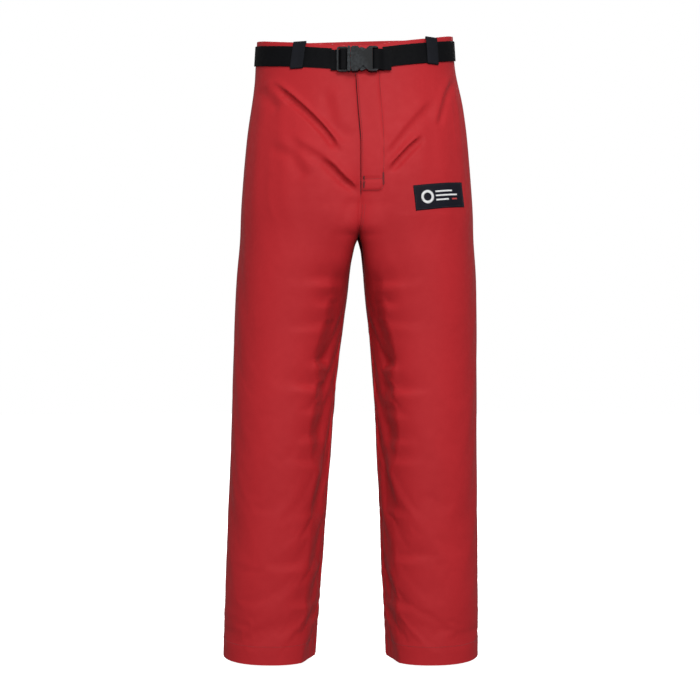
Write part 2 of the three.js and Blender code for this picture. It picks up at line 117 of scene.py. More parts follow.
def curveThrough(stations, heights):
    # a smooth curve through the stations, read at many heights
    h = np.array([s[0] for s in stations], float)
    v = np.array([s[1] for s in stations], float)
    slope = np.empty_like(v)
    slope[1:-1] = (v[2:] - v[:-2]) / (h[2:] - h[:-2])
    slope[0] = (v[1] - v[0]) / (h[1] - h[0])
    slope[-1] = (v[-1] - v[-2]) / (h[-1] - h[-2])
    at = np.asarray(heights, float)
    i = np.clip(np.searchsorted(-h, -at, side="right") - 1, 0, len(h) - 2)
    step = h[i + 1] - h[i]
    t = np.clip((at - h[i]) / step, 0, 1)
    keepStart = 2 * t**3 - 3 * t**2 + 1
    keepEnd = 3 * t**2 - 2 * t**3
    bends = (t**3 - 2 * t**2 + t) * slope[i] + (t**3 - t**2) * slope[i + 1]
    return keepStart * v[i] + keepEnd * v[i + 1] + step * bends


def stationValue(stations, heights):
    # straight lines between stations of (height, value), read at many heights
    return np.interp(-np.asarray(heights, float), [-s[0] for s in stations], [s[1] for s in stations])


def smoothStep(x, low, high):
    t = np.clip((x - low) / (high - low), 0, 1)
    return t * t * (3 - 2 * t)


def signedPower(value, exponent):
    return np.sign(value) * np.abs(value) ** exponent


def clothPoints(around, heights):
    # on the left, around is 0 at the front seam, 0.5 at the side seam and 1 at the back seam;
    # on the right it is negative, and from 1 to 2 it carries on past the back seam to the right
    around, heights = np.broadcast_arrays(np.asarray(around, float), np.asarray(heights, float))
    onRight = (around < 0) | (around > 1)
    side = np.where(onRight, -1.0, 1.0)
    share = np.where(around > 1, 2 - around, np.abs(around))
    outer = curveThrough(cut["outerEdge"], heights)
    inner = curveThrough(cut["innerEdge"], heights)
    centre, radius = (outer + inner) / 2, (outer - inner) / 2
    first = np.arccos(np.clip(centre / radius, 0, 1) ** (cut["squareness"] / 2))
    angle = first + share * (2 * math.pi - 2 * first)
    across = signedPower(np.cos(angle), 2 / cut["squareness"])
    flatter = np.where(share < 0.5, stationValue(cut["crotchFlatness"], heights), 1.0)
    flatter = np.where(angle < math.pi / 2, flatter, 1.0)
    deep = signedPower(np.sin(angle), 2 / cut["squareness"] * flatter)
    lean = cut["lean"] * np.maximum(0, (cut["crotch"] - heights) / (cut["crotch"] - cut["hem"]))
    tuck = cut["leftWaistTuck"] * smoothStep(heights, -100, -10) * smoothStep(share, 0.1, 0.4)
    x = side * (centre - radius * across) * np.where(onRight, 1.0, 1 - tuck) + lean
    frontDepth, backDepth = (curveThrough(cut[name], heights) for name in ("frontDepth", "backDepth"))
    depth = np.where(deep > 0, frontDepth, backDepth)
    y = -depth * deep
    tilt = smoothStep(heights, cut["tiltEnds"], -20)
    dip = cut["waistDip"]
    inFront = dip["lift"] - dip["drop"] * np.exp(-((x / dip["width"]) ** 2))
    sag = inFront * smoothStep(-y, 0, dip["front"]) - dip["back"] * smoothStep(y, 0, 100)
    z = heights + tilt * (cut["waistSlope"] * y + cut["waistRoll"] * x + sag)
    return np.stack([x, y, z], -1) * mm


def rowHeights():
    upper = np.linspace(cut["waistSeam"], cut["pieceCut"], clothGrid["upperRows"])
    lower = np.linspace(cut["pieceCut"], cut["hem"], clothGrid["lowerRows"])
    return np.concatenate([upper, lower[1:]])


# large folds pressed into the hips and puckers along the inner legs, in millimetres seen from the front
# each fold: its line from end to end as (x, z), its height and width, and the depth of the crease along it;
# the ridge lies above the line and the hollow below it
hipFolds = [
    {"line": [(-146, -62), (-101, -104), (-76, -128), (-54, -152), (-38, -173), (-27, -193)], "height": 5.5,
     "width": 4.4, "crease": 5.4},
    {"line": [(-120, -150), (-93, -176), (-57, -199), (-30, -227), (1, -253)], "height": 3.2, "width": 8,
     "crease": 0.6},
    {"line": [(-60, -198), (-44, -212), (-22, -235), (2, -254)], "height": 3.6, "width": 4.2, "crease": 3.8},
    {"line": [(-49, -74), (-32, -138), (1, -164)], "height": 2.5, "width": 11},
    {"line": [(-165, -62), (-124, -112)], "height": 3, "width": 10},
    {"line": [(-150, -168), (-104, -187), (-77, -232)], "height": 3, "width": 10},
    {"line": [(131, -92), (82, -149), (45, -197)], "height": 2.6, "width": 7, "crease": 1.2},
    {"line": [(112, -158), (85, -184), (51, -221)], "height": 4.4, "width": 4.2, "crease": 4.6},
    {"line": [(168, -45), (150, -82), (141, -115), (132, -145)], "height": 3, "width": 5, "crease": 1.0},
]
foldShape = {
    "front": (5, 50),  # how far forward of the middle a fold starts and is full
    "ridge": 0.8,
    "ridgeShift": 0.7,  # shifts and spreads count in widths of the fold
    "ridgeSpread": 1.5,
    "hollowShift": 0.8,
    "hollowSpread": 1.1,
    "creaseAbove": 2.6,
    "creaseBelow": 9,
}
legPuckers = {
    "leftLeg": [(-404, 4.0), (-438, 4.5), (-470, 2), (-540, 6.5), (-582, 4.5), (-622, 2.5), (-668, 3),
                (-700, 2.5), (-788, 2), (-868, 1.8), (-948, 2.5)],
    "rightLeg": [(-400, 4.5), (-436, 4.0), (-474, 2.5), (-536, 7), (-578, 5), (-616, 2.5), (-664, 3),
                 (-706, 2), (-792, 2.2), (-880, 1.8), (-944, 2.5)],
    "steepHeight": 6,
    "slackHeight": 22,
    "middle": 0.15,  # where round the section a pucker is deepest
    "spread": 0.05,
    "slant": 60,
    "behind": 0.5,  # the same, weaker, at the back
    "crest": 0.35,
}
clothRelax = {
    "frames": 24,
    "gravity": 0.25,
    "seamReach": 0.035,
    "holdEverywhere": 0.08,
    "holdAtSeams": 0.25,
    "inseamShare": 0.4,  # how much of the wrinkling is kept along the inseams
    "legShare": 0.16,
    "hipShare": 0.12,
    "seatShare": 0.7,
    "driftSize": 6,  # wrinkles wider than about this many grid steps are left out
    "cap": 9,  # furthest that a wrinkle may move the cloth, in millimetres
}
clothSettings = {
    "quality": 4,
    "mass": 0.35,
    "tension_stiffness": 25,
    "compression_stiffness": 25,
    "shear_stiffness": 8,
    "bending_stiffness": 1.2,
    "air_damping": 4,
    "vertex_group_mass": "held",
    "pin_stiffness": 1.2,
    "shrink_min": -0.022,  # the cloth grows between its seams
    "shrink_max": 0.004,
    "vertex_group_shrink": "sewn",
    "use_pressure": True,
    "uniform_pressure_force": 0.5,
}


def lineDistance(x, z, line):
    # signed distance to a bent line, positive on its lower side, and how far along it the nearest point lies
    best = np.full(x.shape, 1e9)
    signed = np.zeros(x.shape)
    along = np.zeros(x.shape)
    lengths = [math.dist(a, b) for a, b in zip(line[:-1], line[1:])]
    total, done = sum(lengths), 0.0
    for (ax, az), (bx, bz), length in zip(line[:-1], line[1:], lengths):
        dx, dz = (bx - ax) / length, (bz - az) / length
        t = np.clip((x - ax) * dx + (z - az) * dz, 0, length)
        gapX, gapZ = x - ax - t * dx, z - az - t * dz
        distance = np.hypot(gapX, gapZ)
        downX, downZ = (dz, -dx) if dx > 0 else (-dz, dx)
        near = distance < best
        best = np.where(near, distance, best)
        signed = np.where(near, np.where(gapX * downX + gapZ * downZ > 0, distance, -distance), signed)
        along = np.where(near, (done + t) / total, along)
        done += length
    return signed, along


def foldRelief(points):
    # how far the sculpted folds lift the cloth, in millimetres
    x, y, z = points[..., 0] / mm, points[..., 1] / mm, points[..., 2] / mm
    relief = np.zeros(x.shape)
    shape = foldShape
    front = smoothStep(-y, *shape["front"])
    for fold in hipFolds:
        width = fold["width"]
        signed, along = lineDistance(x, z, fold["line"])
        fade = smoothStep(along, 0, 0.25) * (1 - smoothStep(along, 0.85, 1))
        ridge = np.exp(-(((signed + shape["ridgeShift"] * width) / (shape["ridgeSpread"] * width)) ** 2))
        hollow = np.exp(-(((signed - shape["hollowShift"] * width) / (shape["hollowSpread"] * width)) ** 2))
        relief += fold["height"] * fade * front * (shape["ridge"] * ridge - hollow)
    return relief


# the front of each leg stays flat, then its inner face falls away from a scalloped edge
legFace = {
    "depth": [(-380, 0), (-425, 12), (-500, 23), (-650, 26), (-750, 20), (-1046, 18)],
    "edge": [(-390, 0.09), (-470, 0.11), (-650, 0.112), (-740, 0.086), (-1046, 0.078)],
    "turn": 0.045,
    "scallop": 0.024,
    "corners": [-433, -466, -572, -607, -727, -811, -898, -989],  # where the edge juts out
    "cornerReach": 17,
    "behind": 0.5,  # the same, weaker, at the back
}


def legFaceDepth(around, heights):
    # how far the inner face is pushed back from the front, and forward from the back, in millimetres
    shape = legFace
    wave = 0
    for corner in shape["corners"]:
        wave = np.maximum(wave, np.exp(-np.abs(heights - corner) / shape["cornerReach"]))
    edge = stationValue(shape["edge"], heights) - shape["scallop"] * (wave - 0.3)
    depth = stationValue(shape["depth"], heights)

    def faceShare(share):
        return smoothStep(share, 0, 0.05) * (1 - smoothStep(share, edge, edge + shape["turn"]))

    return depth * (faceShare(around) - shape["behind"] * faceShare(1 - around))


def creaseRelief(points):
    # a sharp line along each fold, steep above it and slack below
    x, y, z = points[..., 0] / mm, points[..., 1] / mm, points[..., 2] / mm
    relief = np.zeros(x.shape)
    for fold in hipFolds:
        signed, along = lineDistance(x, z, fold["line"])
        fade = smoothStep(along, 0, 0.3) * (1 - smoothStep(along, 0.75, 1))
        fade = fade * smoothStep(-y, *foldShape["front"])
        above, below = np.exp(signed / foldShape["creaseAbove"]), np.exp(-signed / foldShape["creaseBelow"])
        fall = np.where(signed < 0, above, below)
        relief -= fold.get("crease", 0) * fade * fall
    return relief


def puckerRelief(name, around, heights):
    # each pucker falls slowly from above and turns up sharply below; it wanders a little round the leg
    shape = legPuckers
    relief = np.zeros(np.broadcast(around, heights).shape)
    for order, (height, strength) in enumerate(shape[name + "Leg"]):
        phase = 2.1 * order + (1.3 if name == "left" else 0)
        drift = shape["slant"] * (around - shape["middle"]) * math.sin(phase)
        middle = shape["middle"] + 0.02 * math.sin(3.7 * order)
        spread = shape["spread"] * (1 + 0.3 * math.cos(2.9 * order))
        inFront = np.exp(-(((around - middle) / spread) ** 2))
        behind = shape["behind"] * np.exp(-(((1 - around - middle) / spread) ** 2))
        gap = heights - height - drift
        valley = np.exp(-np.where(gap > 0, gap / shape["slackHeight"], gap / shape["steepHeight"]) ** 2)
        crest = np.exp(-(((gap + 2.2 * shape["steepHeight"]) / (1.6 * shape["steepHeight"])) ** 2))
        crest = shape["crest"] * crest
        relief += strength * (inFront + behind) * (crest - valley)
    return relief


otherSide = {"left": "right", "right": "left"}


def withNeighbours(grids, name, count, heights):
    # one side's grid with some columns of the cloth it is sewn to added at both ends
    own, other = grids[name], grids[otherSide[name]]
    aboveCrotch = (heights > cut["crotch"]).reshape(-1, 1, 1)
    before = np.where(aboveCrotch, other[:, count:0:-1], own[:, -1 - count : -1])
    after = np.where(aboveCrotch, other[:, -2 : -2 - count : -1], own[:, 1 : 1 + count])
    return np.concatenate([before, own, after], 1)


def blurred(grids, name, size, heights):
    # a soft average over neighbouring rows and columns
    reach = 2 * size
    weights = np.exp(-((np.arange(-reach, reach + 1) / size) ** 2))
    weights /= weights.sum()
    values = withNeighbours(grids, name, reach, heights)
    columns = grids[name].shape[1]
    values = sum(w * values[:, k : k + columns] for k, w in enumerate(weights))
    first, last = values[:1], values[-1:]
    above = [2 * first - values[k : k + 1] for k in range(reach, 0, -1)]
    below = [2 * last - values[-1 - k : len(values) - k] for k in range(1, reach + 1)]
    tall = np.concatenate(above + [values] + below)
    return sum(w * tall[k : k + len(values)] for k, w in enumerate(weights))


def gridNormals(grids, name, heights):
    # outward normals, rows from top to bottom and columns round the body
    wide = withNeighbours(grids, name, 2, heights)
    across = np.gradient(wide, axis=1)[:, 2:-2]
    down = np.gradient(wide, axis=0)[:, 2:-2]
    normal = np.cross(down, across) * sides[name]
    return normal / np.maximum(np.linalg.norm(normal, axis=-1, keepdims=True), 1e-12)


def baseCloth():
    # the cut cloth of both sides with its sculpted folds, before it settles
    around = np.linspace(0, 1, clothGrid["columns"] + 1)[None, :]
    heights = rowHeights()
    column = heights[:, None]
    plain = {name: clothPoints(np.maximum(around, 1e-7) * side, column) for name, side in sides.items()}
    nearCrotch = np.exp(-(((column - cut["crotch"]) / 45) ** 2))
    offSeams = smoothStep(around, 0.03, 0.16) * smoothStep(1 - around, 0.03, 0.16)
    mix = (nearCrotch * offSeams)[..., None]
    grids = {name: plain[name] * (1 - mix) + blurred(plain, name, 5, heights) * mix for name in sides}
    shift = stationValue(cut["frontSeamShift"], column) * np.exp(-((around / 0.14) ** 2)) * mm
    forward = stationValue(cut["crotchForward"], column) * np.exp(-((around / 0.12) ** 2))
    nearSeam = np.exp(-((around / 0.016) ** 2)) * smoothStep(-column, 312, 328)
    forward = forward * (1 - nearSeam) * mm - legFaceDepth(around, column) * mm
    innerCorner = 0.5 + 0.5 * np.cos(2 * math.pi * (around - 0.13))
    droop = cut["hemDrop"] * smoothStep(-column, 960, 1046) * innerCorner
    for name in sides:
        grids[name][..., 0] += shift
        grids[name][..., 1] -= forward
        grids[name][..., 2] -= droop * mm
    calm = smoothStep(np.minimum(-20 - column, column - cut["hem"]), 0, 25)
    folded = {}
    for name in sides:
        normals = gridNormals(grids, name, heights)
        relief = foldRelief(grids[name]) + puckerRelief(name, around, column)
        folded[name] = grids[name] + normals * (relief * calm * mm)[..., None]
    return folded


def clothIndices():
    # one vertex number for each grid point, shared where cloth is sewn to cloth
    heights = rowHeights()
    count = 0
    indices = {name: np.zeros((len(heights), clothGrid["columns"] + 1), int) for name in sides}
    for row, height in enumerate(heights):
        aboveCrotch = height > cut["crotch"]
        for name in sides:
            for column in range(clothGrid["columns"] + 1):
                if aboveCrotch and name == "right" and column in (0, clothGrid["columns"]):
                    indices[name][row, column] = indices["left"][row, column]
                elif not aboveCrotch and column == clothGrid["columns"]:
                    indices[name][row, column] = indices[name][row, 0]
                else:
                    indices[name][row, column] = count
                    count += 1
    return indices, count


def wrinklesOnly(moved):
    # keeps the wrinkles of the settled cloth and drops its slow change of shape
    heights = rowHeights()
    column = heights[:, None]
    around = np.linspace(0, 1, clothGrid["columns"] + 1)[None, :]
    calm = smoothStep(-20 - column, 0, 40) * smoothStep(column - cut["hem"], -6, 30)
    onLeg = smoothStep(-column, -cut["crotch"] - 20, -cut["crotch"] + 60)
    offInseam = smoothStep(np.minimum(around, 1 - around), 0.07, 0.2)
    legShare = clothRelax["inseamShare"] * (1 - offInseam) + clothRelax["legShare"] * offInseam
    back = smoothStep(around, 0.5, 0.62)
    hipShare = clothRelax["hipShare"] + (clothRelax["seatShare"] - clothRelax["hipShare"]) * back
    share = hipShare * (1 - onLeg) + legShare * onLeg
    nearFly = 1 - smoothStep(around, 0.06, 0.13)
    flat = 1 - 0.85 * nearFly * smoothStep(column, seamShape["flyEnd"] - 30, -240)
    weight = (calm * share * flat)[..., None]
    limit = clothRelax["cap"] * mm
    wrinkles = {}
    for name in sides:
        wrinkle = (moved[name] - blurred(moved, name, clothRelax["driftSize"], heights)) * weight
        reach = np.linalg.norm(wrinkle, axis=-1, keepdims=True)
        wrinkles[name] = wrinkle * limit * np.tanh(reach / limit) / np.maximum(reach, 1e-9)
    return wrinkles


def relaxCloth(grids):
    # lets the cloth settle: it is a little longer than its seams, so it buckles between them
    indices, count = clothIndices()
    columns, heights = clothGrid["columns"], rowHeights()
    co = np.zeros((count, 3))
    seamed = np.zeros(count)
    held = np.zeros(count)
    around = np.linspace(0, 1, columns + 1)
    seamShare = np.maximum.reduce([
        np.exp(-((around / clothRelax["seamReach"]) ** 2)),
        np.exp(-(((around - 1) / clothRelax["seamReach"]) ** 2)),
        0.7 * np.exp(-(((around - 0.5) / (0.6 * clothRelax["seamReach"])) ** 2)),
    ])
    topHold = 1 - smoothStep(-heights, 18, 34)
    hemHold = 0.5 * (1 - smoothStep(heights - cut["hem"], 0, 40))
    faces = []
    for name, side in sides.items():
        index = indices[name]
        co[index] = grids[name]
        seamed[index] = seamShare[None, :]
        hold = np.maximum(topHold, hemHold)[:, None] + clothRelax["holdEverywhere"]
        hold = hold + clothRelax["holdAtSeams"] * seamShare[None, :]
        held[index] = np.clip(hold, 0, 1)
        quads = np.stack([index[:-1, :-1], index[1:, :-1], index[1:, 1:], index[:-1, 1:]], -1).reshape(-1, 4)
        faces.append(quads if side > 0 else quads[:, ::-1])
    mesh = bpy.data.meshes.new("settling")
    mesh.from_pydata(co.tolist(), [], np.concatenate(faces).tolist())
    piece = bpy.data.objects.new("settling", mesh)
    scene.collection.objects.link(piece)
    for groupName, weights in {"sewn": seamed, "held": held}.items():
        group = piece.vertex_groups.new(name=groupName)
        for level in np.unique(np.round(weights, 2)):
            members = np.nonzero(np.round(weights, 2) == level)[0]
            group.add(members.tolist(), float(level), "REPLACE")
    cloth = piece.modifiers.new("settle", "CLOTH")
    for setting, value in clothSettings.items():
        setattr(cloth.settings, setting, value)
    cloth.settings.effector_weights.gravity = clothRelax["gravity"]
    cloth.collision_settings.use_collision = False
    cloth.point_cache.frame_start = 1
    cloth.point_cache.frame_end = clothRelax["frames"]
    for frameNumber in range(1, clothRelax["frames"] + 1):
        scene.frame_set(frameNumber)
    settled = piece.evaluated_get(bpy.context.evaluated_depsgraph_get())
    after = np.zeros(count * 3)
    settled.data.vertices.foreach_get("co", after)
    after = after.reshape(-1, 3)
    bpy.data.objects.remove(piece)
    bpy.data.meshes.remove(mesh)
    scene.frame_set(1)
    moved = {name: (after - co)[indices[name]] for name in sides}
    wrinkles = wrinklesOnly(moved)
    reach = max(float(np.abs(wrinkles[name]).max()) for name in sides)
    print("cloth settled, furthest point moved", round(reach / mm, 1), "mm")
    return {name: grids[name] + wrinkles[name] for name in sides}


def doubled(wide):
    # wide has one extra row at both ends; puts a smooth middle row between each two rows
    middle = (9 * (wide[1:-2] + wide[2:-1]) - wide[:-3] - wide[3:]) / 16
    result = np.empty((2 * len(wide) - 5,) + wide.shape[1:])
    result[::2] = wide[1:-1]
    result[1::2] = middle
    return result


def extended(rows):
    # one more row at both ends, carried straight on
    return np.concatenate([2 * rows[:1] - rows[1:2], rows, 2 * rows[-1:] - rows[-2:-1]])


flyStitch = {"inset": 1.8, "edge": 2.6, "crossing": -229, "tack": (-217, -240)}
seamShape = {
    "groove": 1.2,
    "grooveShare": 0.0045,
    "fellLift": 0.8,  # the folded cloth beside a seam
    "fellShare": 0.012,
    "flyLift": 2.4,
    "flyDrop": 1.2,
    "flyGroove": 1.7,
    "flyGap": 0.7,  # how far each edge of the fly stands back from the middle line
    "flyWidth": [(-20, 40), (-100, 40), (-185, 39), (-255, 38)],
    "flyCorner": 9,
    "flyEnd": -252,
    "flyFade": 16,  # the fly sinks into the front seam over this height
    "bandFade": (17, 30),  # nothing stands out above the first of these depths below the belt
}


def besideFly(heights):
    # 1 down the fly, 0 below it
    return smoothStep(heights, seamShape["flyEnd"] - seamShape["flyFade"], seamShape["flyEnd"])


def belowBand(heights):
    # 0 under the waistband, 1 below it
    return smoothStep(-heights, *seamShape["bandFade"])


def flyOutside(x, heights):
    # signed distance outside the stitched outline of the fly, in millimetres
    width = stationValue(seamShape["flyWidth"], heights)
    r = seamShape["flyCorner"]
    sideways, downwards = x - (width - r), (seamShape["flyEnd"] + r) - heights
    corner = np.hypot(np.maximum(sideways, 0), np.maximum(downwards, 0)) - r
    return np.where((sideways > 0) | (downwards > 0), corner, np.maximum(sideways, downwards) - r)


def seamRelief(name, x, around, heights):
    # lifts and grooves along the seams, in millimetres
    shape = seamShape
    relief = np.zeros(np.broadcast(around, heights).shape)
    below = 1 - besideFly(heights)
    for seam, fellSide in ((0, 0), (0.5, 1), (1, -1)):
        groove = np.exp(-(((around - seam) / shape["grooveShare"]) ** 2))
        fell = np.exp(-(((around - seam - 0.9 * fellSide * shape["fellShare"]) / shape["fellShare"]) ** 2))
        present = below if seam == 0 else 1
        relief = relief + (abs(fellSide) * shape["fellLift"] * fell - shape["groove"] * groove) * present
    top = belowBand(heights)
    if name == "left":
        outside = flyOutside(x, heights)
        raised = 1 - smoothStep(outside, -1.6, 1.6)
        sewn = np.exp(-(((outside + 2) / 1.2) ** 2)) + 0.6 * np.exp(-((outside / 1.5) ** 2))
        crossing = raised * np.exp(-(((heights - flyStitch["crossing"]) / 2.5) ** 2))
        relief = relief + top * (shape["flyLift"] * raised - shape["flyGroove"] * np.maximum(sewn, crossing))
    else:
        relief = relief - shape["flyDrop"] * top * (1 - below) * (1 - smoothStep(around, 0.01, 0.045))
    return relief


def fineCloth(grids):
    # the settled grids at twice the resolution, with the seams pressed in and the fly laid over
    heights = rowHeights()
    fineHeights = doubled(extended(heights))
    around = np.linspace(0, 1, 2 * clothGrid["columns"] + 1)
    smooth = {}
    for name in sides:
        wide = withNeighbours(grids, name, 1, heights)
        columns = np.moveaxis(doubled(np.moveaxis(wide, 1, 0)), 0, 1)
        smooth[name] = doubled(extended(columns))
    sewn = {}
    for name, side in sides.items():
        normals = gridNormals(smooth, name, fineHeights)
        column = fineHeights[:, None]
        x = np.where(around[None, :] < 0.25, side * (smooth[name][..., 0] - smooth[name][:, :1, 0]) / mm, 999)
        relief = seamRelief(name, x, around[None, :], column) + creaseRelief(smooth[name])
        sewn[name] = smooth[name] + normals * (relief * mm)[..., None]
        openEdge = besideFly(column) * belowBand(column)
        atEdge = np.exp(-((around[None, :] / 0.01) ** 2))
        sewn[name][..., 0] += side * seamShape["flyGap"] * mm * openEdge * atEdge
    # the stiff patch holds the cloth behind it smooth
    softLeft = blurred(sewn, "left", 5, fineHeights)
    acrossPatch = np.abs(around[None, :] - labelPatch["around"])
    alongPatch = np.abs(fineHeights[:, None] - labelPatch["middle"])
    underPatch = 1 - smoothStep(acrossPatch, *labelPatch["smoothAcross"])
    underPatch = underPatch * (1 - smoothStep(alongPatch, *labelPatch["smoothAlong"]))
    sewn["left"] = sewn["left"] + (softLeft - sewn["left"]) * underPatch[..., None]
    cloth = {}
    for name in sides:
        normals = gridNormals(sewn, name, fineHeights)
        soft = blurred(sewn, name, 5, fineHeights)
        cloth[name] = {
            "points": sewn[name],
            "normals": normals,
            "soft": soft,
            "around": around,
            "heights": fineHeights,
        }
    softGrids = {name: cloth[name]["soft"] for name in sides}
    for name in sides:
        cloth[name]["softNormals"] = gridNormals(softGrids, name, fineHeights)
    return cloth


surface = {}  # each side's settled cloth, filled in once it is shaped
cutGrids = {}  # each side's cloth as it is cut, without folds


def surfaceAt(name, share, heights, lift=0.0):
    # points on the settled cloth of one side, lifted off it by some millimetres, and its normals there
    cloth = surface[name]
    share, heights = np.broadcast_arrays(np.asarray(share, float), np.asarray(heights, float))
    column = np.clip(share, 0, 1) * (len(cloth["around"]) - 1)
    row = np.interp(-heights, -cloth["heights"], np.arange(len(cloth["heights"])))
    c0 = np.clip(column.astype(int), 0, len(cloth["around"]) - 2)
    r0 = np.clip(row.astype(int), 0, len(cloth["heights"]) - 2)
    fc, fr = (column - c0)[..., None], (row - r0)[..., None]

    def read(values):
        top = values[r0, c0] * (1 - fc) + values[r0, c0 + 1] * fc
        low = values[r0 + 1, c0] * (1 - fc) + values[r0 + 1, c0 + 1] * fc
        return top * (1 - fr) + low * fr

    normals = read(cloth["normals"])
    return read(cloth["points"]) + normals * (np.asarray(lift, float)[..., None] * mm), normals


# mesh helpers
def newPiece(name, points, faces, materials, faceSlots=None, uv=None):
    mesh = bpy.data.meshes.new(name)
    mesh.from_pydata(np.asarray(points).reshape(-1, 3).tolist(), [], [list(map(int, f)) for f in faces])
    for material in materials:
        mesh.materials.append(material)
    if faceSlots is not None:
        mesh.polygons.foreach_set("material_index", np.asarray(faceSlots, dtype=np.int32))
    mesh.polygons.foreach_set("use_smooth", np.ones(len(mesh.polygons), dtype=bool))
    if uv is not None:
        layer = mesh.uv_layers.new(name="cloth")
        corner = np.zeros(len(mesh.loops), dtype=np.int32)
        mesh.loops.foreach_get("vertex_index", corner)
        layer.data.foreach_set("uv", np.asarray(uv, dtype=np.float32)[corner].ravel())
    piece = bpy.data.objects.new(name, mesh)
    scene.collection.objects.link(piece)
    return piece


def gridFaces(rows, columns, start=0, ring=False):
    last = columns if ring else columns - 1
    row = np.arange(rows - 1)[:, None] * columns
    column = np.arange(last)[None, :]
    ahead = (column + 1) % columns
    quads = np.stack([row + column, row + columns + column, row + columns + ahead, row + ahead], -1)
    return start + quads.reshape(-1, 4)


def edgeLoop(rows, columns):
    # the border of a grid, once round
    top = np.arange(columns)
    right = np.arange(1, rows) * columns + columns - 1
    bottom = (rows - 1) * columns + np.arange(columns - 2, -1, -1)
    left = np.arange(rows - 2, 0, -1) * columns
    return np.concatenate([top, right, bottom, left])


def clothSheet(name, outer, inner, normals, materials, flip=False):
    # a sheet of cloth with real thickness from two grids of points; its inside takes the second material
    rows, columns = outer.shape[:2]
    count = rows * columns
    front = gridFaces(rows, columns)
    back = gridFaces(rows, columns, count)[:, ::-1]
    border = edgeLoop(rows, columns)
    after = np.roll(border, -1)
    rim = np.stack([border, after, after + count, border + count], -1)
    faces = np.concatenate([front, back, rim])
    if flip:
        faces = faces[:, ::-1]
    slots = np.concatenate([np.zeros(len(front)), np.full(len(back), len(materials) - 1), np.zeros(len(rim))])
    steps = np.linalg.norm(np.diff(outer, axis=1), axis=-1)
    across = np.concatenate([np.zeros((rows, 1)), np.cumsum(steps, 1)], 1)
    across -= across[:, columns // 2 : columns // 2 + 1]
    down = np.concatenate([[0], np.cumsum(np.linalg.norm(np.diff(outer, axis=0), axis=-1).mean(1))])
    uv = np.stack([across, np.broadcast_to(-down[:, None], across.shape)], -1).reshape(-1, 2)
    piece = newPiece(name, np.concatenate([outer.reshape(-1, 3), inner.reshape(-1, 3)]), faces,
                     materials, faceSlots=slots, uv=np.concatenate([uv, uv]))
    if normals is not None:
        both = np.concatenate([normals.reshape(-1, 3), -normals.reshape(-1, 3)])
        piece.data.normals_split_custom_set_from_vertices(both.tolist())
    return piece


# shader helpers
def put(tree, socket, value):
    # a link if the value is another node's output, a plain value if not
    if isinstance(value, bpy.types.NodeSocket):
        tree.links.new(value, socket)
    else:
        socket.default_value = value


def mathNode(tree, operation, *values):
    node = tree.nodes.new("ShaderNodeMath")
    node.operation = operation
    for socket, value in zip(node.inputs, values):
        put(tree, socket, value)
    return node.outputs[0]


def noiseNode(tree, vector, scale, detail=2.0, roughness=0.5):
    node = tree.nodes.new("ShaderNodeTexNoise")
    put(tree, node.inputs["Vector"], vector)
    put(tree, node.inputs["Scale"], scale)
    node.inputs["Detail"].default_value = detail
    node.inputs["Roughness"].default_value = roughness
    return node.outputs["Fac"]


def rangeNode(tree, value, low, high, outLow=0.0, outHigh=1.0):
    node = tree.nodes.new("ShaderNodeMapRange")
    for socket, item in zip(node.inputs, (value, low, high, outLow, outHigh)):
        put(tree, socket, item)
    return node.outputs[0]


def scaledVector(tree, vector, scale):
    node = tree.nodes.new("ShaderNodeVectorMath")
    node.operation = "SCALE"
    put(tree, node.inputs[0], vector)
    put(tree, node.inputs["Scale"], scale)
    return node.outputs[0]


def mixColour(tree, factor, first, second):
    node = tree.nodes.new("ShaderNodeMix")
    node.data_type = "RGBA"
    put(tree, node.inputs[0], factor)
    put(tree, node.inputs[6], first)
    put(tree, node.inputs[7], second)
    return node.outputs[2]


def newGroup(name, inputs, outputs):
    group = bpy.data.node_groups.new(name, "ShaderNodeTree")
    for label, kind, value in inputs:
        socket = group.interface.new_socket(name=label, in_out="INPUT", socket_type="NodeSocket" + kind)
        if kind == "Float":
            socket.default_value = value
    for label in outputs:
        group.interface.new_socket(name=label, in_out="OUTPUT", socket_type="NodeSocketFloat")
    return group, group.nodes.new("NodeGroupInput").outputs, group.nodes.new("NodeGroupOutput").inputs


def threadWave(tree, value):
    return mathNode(tree, "SINE", mathNode(tree, "MULTIPLY", value, math.pi))


def makeWeaveGroup():
    # a plain weave: each thread goes over one crossing thread and under the next
    group, given, out = newGroup(
        "plainWeave",
        [("Vector", "Vector", None), ("Threads", "Float", 1500.0), ("Unevenness", "Float", 0.3)],
        ["Height", "Thread Shade"],
    )
    split = group.nodes.new("ShaderNodeSeparateXYZ")
    put(group, split.inputs[0], scaledVector(group, given["Vector"], given["Threads"]))
    waveU, waveV = threadWave(group, split.outputs[0]), threadWave(group, split.outputs[1])
    over = rangeNode(group, mathNode(group, "MULTIPLY", waveU, waveV), -0.05, 0.05)
    warp = mathNode(group, "MULTIPLY", mathNode(group, "ABSOLUTE", waveU), over)
    under = mathNode(group, "SUBTRACT", 1.0, over)
    weft = mathNode(group, "MULTIPLY", mathNode(group, "ABSOLUTE", waveV), under)
    slub = noiseNode(group, given["Vector"], 900.0, 1.0)
    uneven = mathNode(group, "MULTIPLY_ADD", mathNode(group, "SUBTRACT", slub, 0.5), given["Unevenness"], 1.0)
    height = mathNode(group, "MULTIPLY", mathNode(group, "ADD", warp, weft), uneven)
    put(group, out["Height"], height)
    halfSlub = mathNode(group, "MULTIPLY", slub, 0.5)
    put(group, out["Thread Shade"], mathNode(group, "MULTIPLY_ADD", over, 0.5, halfSlub))
    return group


